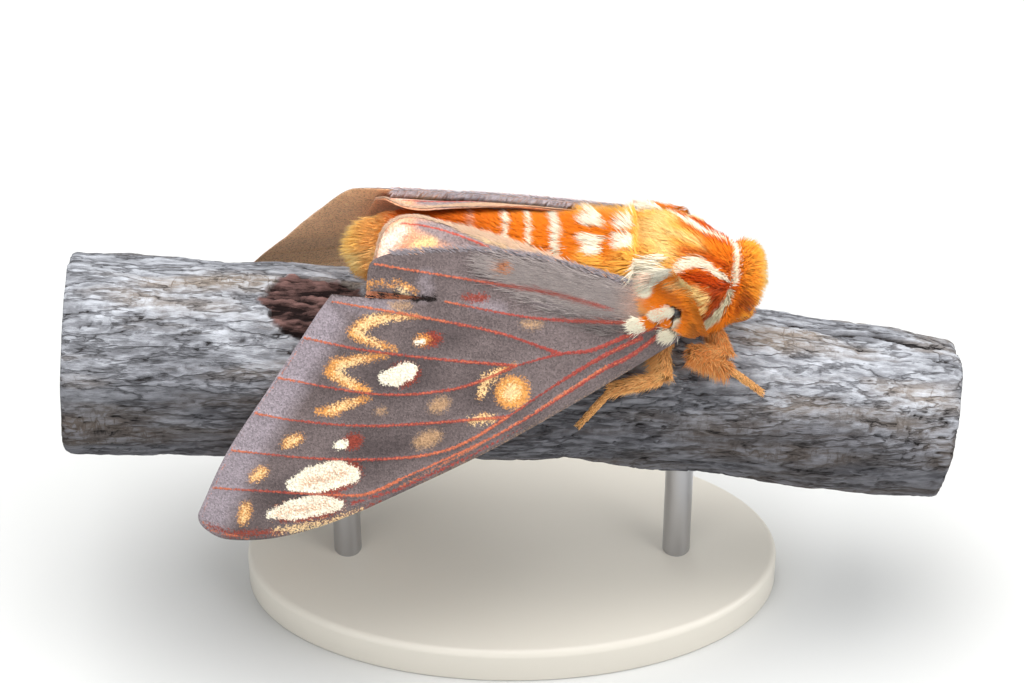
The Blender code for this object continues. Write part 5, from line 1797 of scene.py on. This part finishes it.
    def coat(self, comb: Comb, form: BodyForm) -> None:
        """All the hair that grows on the wings."""
        for index, side_name in enumerate(SIDES):
            front, hind = self.forewings[side_name], self.hindwings[side_name]
            comb.build("coat_forewing_" + side_name,
                       [self.root_hair(front, self.ROOT_SEED + index),
                        self.rim_hair(front, self.RIM_SEED + index)])
            comb.build("coat_wing_root_" + side_name,
                       [self.root_cover(front, form, self.COVER_SEED + index),
                        *self.tufts(front, self.TUFT_SEED + 10 * index)])
            comb.build("coat_hindwing_" + side_name, [self.margin_hair(hind, self.MARGIN_SEED + index)])
        comb.build("torn_edge_right", [self.fray(self.forewings["right"])])

    def hinges(self, material: Material) -> None:
        """The bare dark plate beside each forewing's hinge."""
        slant = np.linspace(0.03, math.pi - 0.03, 13)
        turns = spread_turns(20)
        for side_name, side in SIDES.items():
            wing = self.forewings[side_name]
            x = self.HINGE[0] + 0.75 * np.sin(slant)[:, None] * np.cos(turns)[None]
            v = self.HINGE[1] + 0.7 * np.sin(slant)[:, None] * np.sin(turns)[None]
            depth = float(wing.depth(np.array(self.HINGE[0]), np.array(self.HINGE[1])))
            w = np.broadcast_to((depth + 0.25 - 0.4 * np.cos(slant))[:, None], x.shape)
            rings = roof_places(x, v, w, side)
            if side < 0:
                rings = rings[:, ::-1]
            plate = make_mesh("wing_hinge_" + side_name, *lathe_rings(rings.mean(axis=1), rings))
            dress(plate, material, "eye")


# Branch

@dataclass
class Branch:
    """The cut length of weathered branch that the moth grips.

    Attributes:
        half_length: half its length.
        rear_radius: its radius behind the moth.
        front_radius: its radius before the moth.
        relief: depth of its broad lumps.
        columns: faces along it.
        rows: faces round it.
        crack: its long open crack as (x, turn from the top).
        crack_halves: half the crack's width at each of those points.
        mean_radius: the radius that turns are unrolled with for the crack.
        scar: middle of the torn scar behind the tail.
    """

    half_length: float = 46.0
    rear_radius: float = 11.0
    front_radius: float = 8.8
    relief: float = 0.7
    columns: int = 400
    rows: int = 210
    crack: tuple = ((26.5, -24), (28.3, -21), (30.6, -16), (34.4, -18), (37.1, -19), (40.8, -16),
                    (44.1, -17), (46.5, -20))
    crack_halves: tuple = (0.05, 0.25, 0.3, 0.35, 0.4, 0.4, 0.35, 0.3)
    mean_radius: float = 9.5
    scar: Place = (-20.5, -1.5, 9.0)

    @staticmethod
    def axis_z(x: Array | float) -> Array:
        """Height of the branch's own axis, which bends slightly under the thorax."""
        slope = np.where(np.asarray(x) > 6.0, math.tan(math.radians(5.2)), math.tan(math.radians(3.8)))
        return -np.abs(np.asarray(x) - 6.0) * slope

    def radius(self, x: Array) -> Array:
        """Radius, which tapers towards the moth's head."""
        share = (x + self.half_length) / (2 * self.half_length)
        return self.rear_radius + (self.front_radius - self.rear_radius) * share

    def relief_at(self, x: Array, turn: Array, grain: Grain) -> tuple[Array, ...]:
        """How far the bark stands out, how high it is for its colour, and where it is torn.

        Args:
            x: places along the branch.
            turn: turns round it, in radians.
            grain: the noise that it is cut by.

        Returns:
            Relief in millimetres, height from about 0 to 1, and the scar from 0 to 1.
        """
        radius = self.radius(x)
        y, z = -np.sin(turn) * radius, np.cos(turn) * radius
        flat = stack(x, y, z)
        broad = np.array([noise.noise((a * 0.09, b * 0.28, c * 0.28)) for a, b, c in flat.reshape(-1, 3)])
        broad = -self.relief * (0.5 + broad.reshape(x.shape))
        bend = grain.layered(flat * (0.08, 0.2, 0.2) + 3.1, 2)[..., None] * (1.5, 0.9, 0.9)
        fissure = np.abs(grain.layered((flat + bend * 1.4) * (0.1, 0.7, 0.7), 2))
        fine = np.abs(grain.layered((flat + bend) * (0.28, 1.9, 1.9) + 7.7, 2))
        across = np.abs(grain.layered(flat * (0.7, 0.25, 0.25) + 15.0, 2))
        some = ramp(grain.layered(flat * (0.07, 0.2, 0.2) + 40, 2), -0.1, 0.45)
        cracks = (1.0 - ramp(fissure, 0, 0.07)) * (0.25 + 0.75 * some)
        cracks = np.maximum(cracks, 0.4 * (1.0 - ramp(fine, 0, 0.14)))
        cracks = np.maximum(cracks, 0.55 * (1.0 - ramp(across, 0, 0.035)) * some)
        turns = np.degrees((turn + math.pi) % (2 * math.pi) - math.pi)
        scale = math.radians(self.mean_radius)
        sheet = stack(x, turns * scale).reshape(-1, 2)
        wander = grain.layered(flat * (0.5, 0.5, 0.5) + 4.0, 2).reshape(-1, 1) * (0.5, 0.5)
        line = [(along, around * scale) for along, around in self.crack]
        split = ramp(stroke_field(sheet + wander, line, self.crack_halves), -0.15, 0.15).reshape(x.shape)
        away = np.linalg.norm((flat + bend * 0.8 - np.array(self.scar)) * (0.8, 1.0, 1.0), axis=-1)
        away = away + 0.9 * grain.layered(flat * (0.3, 0.8, 0.8) + 51.0, 3)
        torn = 1.0 - ramp(away, 4.6, 5)
        shreds = grain.layered(flat * (0.3, 2.6, 2.6) + flat[..., :1] * (0.0, 0.3, 0.3) + 21.0, 3)
        lumps = grain.layered(flat * (0.4, 1.0, 1.0) + 31.0, 3)
        swell = 0.9 * np.maximum(0.0, 1.0 - np.linalg.norm(flat - np.array(self.scar), axis=-1) / 6.0)
        cut = -0.34 * cracks * (1.0 - torn) + 0.2 * (lumps - 0.4)
        out = broad + cut * (1.0 - torn) + swell - split * 0.9 + torn * (shreds * 1.1 - 0.6)
        height = 0.6 + 0.3 * lumps - 0.55 * cracks - split * 1.3
        height = height * (1.0 - torn) + torn * (0.5 + 0.9 * shreds)
        return np.minimum(out, 0.85), height, torn

    def build(self, bark: Material, sawn: Material, grain: Grain) -> None:
        """The branch with its two sawn ends."""
        count = self.columns
        x = np.linspace(-self.half_length, self.half_length, count)
        turn = spread_turns(self.rows)
        xs, turns = np.meshgrid(x, -turn, indexing="ij")
        out, height, torn = self.relief_at(xs, turns, grain)
        near_end = np.minimum(1.0, (self.half_length - np.abs(xs)) / 0.5)
        size = self.radius(xs) + out - 0.25 * (1.0 - near_end)
        lean = np.arctan(np.gradient(self.axis_z(x), x))
        lean = np.convolve(np.pad(lean, 6, "edge"), np.full(13, 1 / 13), "valid")[:, None]
        spokes = stack(-np.sin(lean) * np.cos(turns), -np.sin(turns), np.cos(lean) * np.cos(turns))
        middle = stack(x, 0.0, self.axis_z(x))
        rings = middle[:, None] + spokes * size[..., None]
        places, quads, _ = lathe_rings(middle, rings)
        extra, caps, pith = [places[:-2]], [], [np.full(count * self.rows, 20.0)]
        total = count * self.rows
        for end, first in ((0, 0), (-1, (count - 1) * self.rows)):
            outer = first + np.arange(self.rows)
            for level in (0.93, 0.8, 0.6, 0.4, 0.2, 0.02):
                extra.append(middle[end] + (rings[end] - middle[end]) * level)
                inner = total + np.arange(self.rows)
                after = np.roll(np.arange(self.rows), -1)
                ring = stack(outer, inner, inner[after], outer[after])
                caps.append(ring if end == 0 else ring[:, ::-1])
                pith.append(size[end] * level)
                outer = inner
                total += self.rows
            caps.append(outer[None, ::-1] if end == 0 else outer[None])
        pith[0][:self.rows] = size[0]
        pith[0][-self.rows:] = size[-1]
        fans = [block for block in caps if block.shape[1] > 4]
        rims = np.concatenate([block for block in caps if block.shape[1] == 4])
        obj = make_mesh("branch_cut_length", np.concatenate(extra), quads, rims, *fans)
        spare = total - count * self.rows
        # Painted shade over the bark, growing from the top of the branch to its underside, with a blotchy
        # edge
        around = np.abs(wrapped(np.degrees(turns)))
        blotch = grain.layered(stack(xs * 0.12, np.sin(turns) * 2.5, np.cos(turns) * 2.5))
        underside_shade = ramp(around + blotch * 25, 8, 92)
        for label, values in (("bark_height", height), ("bark_scar", torn), ("bark_underside_shade", underside_shade)):
            paint(obj, label, np.pad(values.ravel(), (0, spare)))
        paint(obj, "pith_distance", np.concatenate(pith))
        for material in (bark, sawn):
            obj.data.materials.append(material)
        index = np.zeros(len(obj.data.polygons), np.int32)
        index[len(quads):] = 1
        obj.data.polygons.foreach_set("material_index", index)
        dress(obj, bark, "bark", "perch_branch")


# Stand

@dataclass
class Stand:
    """A plain oval base with two upright rods."""

    length: float = 58.0
    width: float = 31.0
    height: float = 4.5
    edge: float = 0.8
    rod_radius: float = 1.5
    rod_spread: float = 18.0
    socket: float = 4.0

    def build(self, base: Material, rod: Material, branch: Branch) -> None:
        """The base and both rods."""
        corner = np.linspace(0, math.pi / 2, 7)
        levels = [(0.0, 0.3), *((0.3 * (1 - math.cos(a)), 0.3 * (1 - math.sin(a))) for a in corner[1:])]
        levels += [(self.height - self.edge + self.edge * math.sin(a), self.edge * (1 - math.cos(a)))
                   for a in corner]
        turns = spread_turns(160)
        z, inset = np.array(levels).T[:, :, None]
        along, across = self.length / 2 - inset, self.width / 2 - inset
        rings = stack(along * np.cos(turns), across * np.sin(turns), z)
        ends = stack(0.0, 0.0, z[:, 0])
        plate = make_mesh("stand_base_oval", *self.upright(*lathe_rings(ends, rings)))
        dress(plate, base, "base", "stand_base")
        for name, x in (("stand_rod_front", self.rod_spread), ("stand_rod_rear", -self.rod_spread)):
            along = x / math.cos(PERCH.slope)
            axis = PERCH.height - along * math.sin(PERCH.slope) + float(Branch.axis_z(along))
            top = axis - float(branch.radius(np.array(along))) + self.socket
            low = self.height
            path = stack(x, 0.0, np.array((low - 0.5, low + 0.1, (low + top) / 2, top - 0.1, top)))
            piece = make_mesh(name + "_bar", *self.upright(*tube(path, np.full(5, self.rod_radius), 48)))
            dress(piece, rod, "rod", name)

    @staticmethod
    def upright(places: Array, *faces: Array) -> tuple[Array, ...]:
        """World places in millimetres turned into the perch frame that meshes are given in."""
        return (PERCH.to_perch(places * MM), *faces)


# Studio

@dataclass
class Studio:
    """A pale floor, soft lights and the camera at the photograph's angle."""

    elevation: float = 45.0
    rise: float = 2.35
    distance: float = 397.0
    lens: float = 36.0 * 380.0 / 102.4

    def build(self, floor: Material) -> None:
        """Floor, lights, world and camera."""
        ground = make_mesh("studio_floor", PERCH.to_perch(np.array(
            ((-3.0, -3.0, 0.0), (3.0, -3.0, 0.0), (3.0, 3.0, 0.0), (-3.0, 3.0, 0.0)))),
            np.array(((0, 1, 2, 3),)), smooth=False)
        ground.data.materials.append(floor)
        for name, place, size, power in (("key_light", (-0.05, 0.05, 0.6), 0.5, 4.9),
                                         ("fill_light", (-0.3, -0.55, 0.35), 0.6, 1.6),
                                         ("side_light", (0.5, -0.2, 0.4), 0.5, 2.6)):
            lamp = bpy.data.lights.new(name, "AREA")
            lamp.size = size
            lamp.energy = power
            holder = place_object(name, lamp)
            holder.location = place
            aim = Vector((0.0, 0.0, 0.04)) - Vector(place)
            holder.rotation_euler = aim.to_track_quat("-Z", "Y").to_euler()
        world = bpy.data.worlds.new("studio_air")
        world.use_nodes = True
        sky = world.node_tree.nodes["Background"]
        sky.inputs["Color"].default_value = (0.92, 0.96, 1.0, 1.0)
        sky.inputs["Strength"].default_value = 0.4
        scene = bpy.context.scene
        scene.world = world
        scene.view_settings.view_transform = "Standard"
        angle = math.radians(self.elevation)
        upward = Vector((0.0, math.sin(angle), math.cos(angle)))
        back = Vector((0.0, -math.cos(angle), math.sin(angle)))
        camera = bpy.data.cameras.new("camera")
        camera.lens = self.lens
        camera.sensor_width = 36.0
        camera.clip_start = 0.01
        holder = place_object("camera", camera)
        middle = Vector((0.0, 0.0, PERCH.height))
        holder.location = (middle + upward * self.rise + back * self.distance) * MM
        holder.rotation_euler = (math.pi / 2 - angle, 0.0, 0.0)
        scene.camera = holder


def main() -> None:
    """Builds the moth, its perch and stand, and the studio."""
    logging.basicConfig(level=logging.INFO, format="%(name)s: %(message)s")
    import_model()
    grain = Grain(GRAIN_SEED)
    horn = HORN_FINISH.build()
    comb = Comb(SoftHair().build())
    bristles = Bristles()
    form = BodyForm()
    legs = Legs()
    branch = Branch()
    BodySkin(form, legs).build(DownySkin().build())
    BodyCoat(form, comb).build()
    legs.coat(comb)
    legs.horn(bristles, horn)
    Feelers().build(bristles, FEELER_FINISH.build())
    Eyes().build(EYE_FINISH.build())
    wings = Wings(grain)
    wings.build(FOREWING_FINISH.build(), HINDWING_FINISH.build())
    wings.coat(comb, form)
    wings.hinges(horn)
    branch.build(WeatheredBark().build(), SawnEnd().build(), grain)
    Stand().build(BASE_FINISH.build(), ROD_FINISH.build(), branch)
    Studio().build(FLOOR_FINISH.build())


if __name__ == "__main__":
    main()
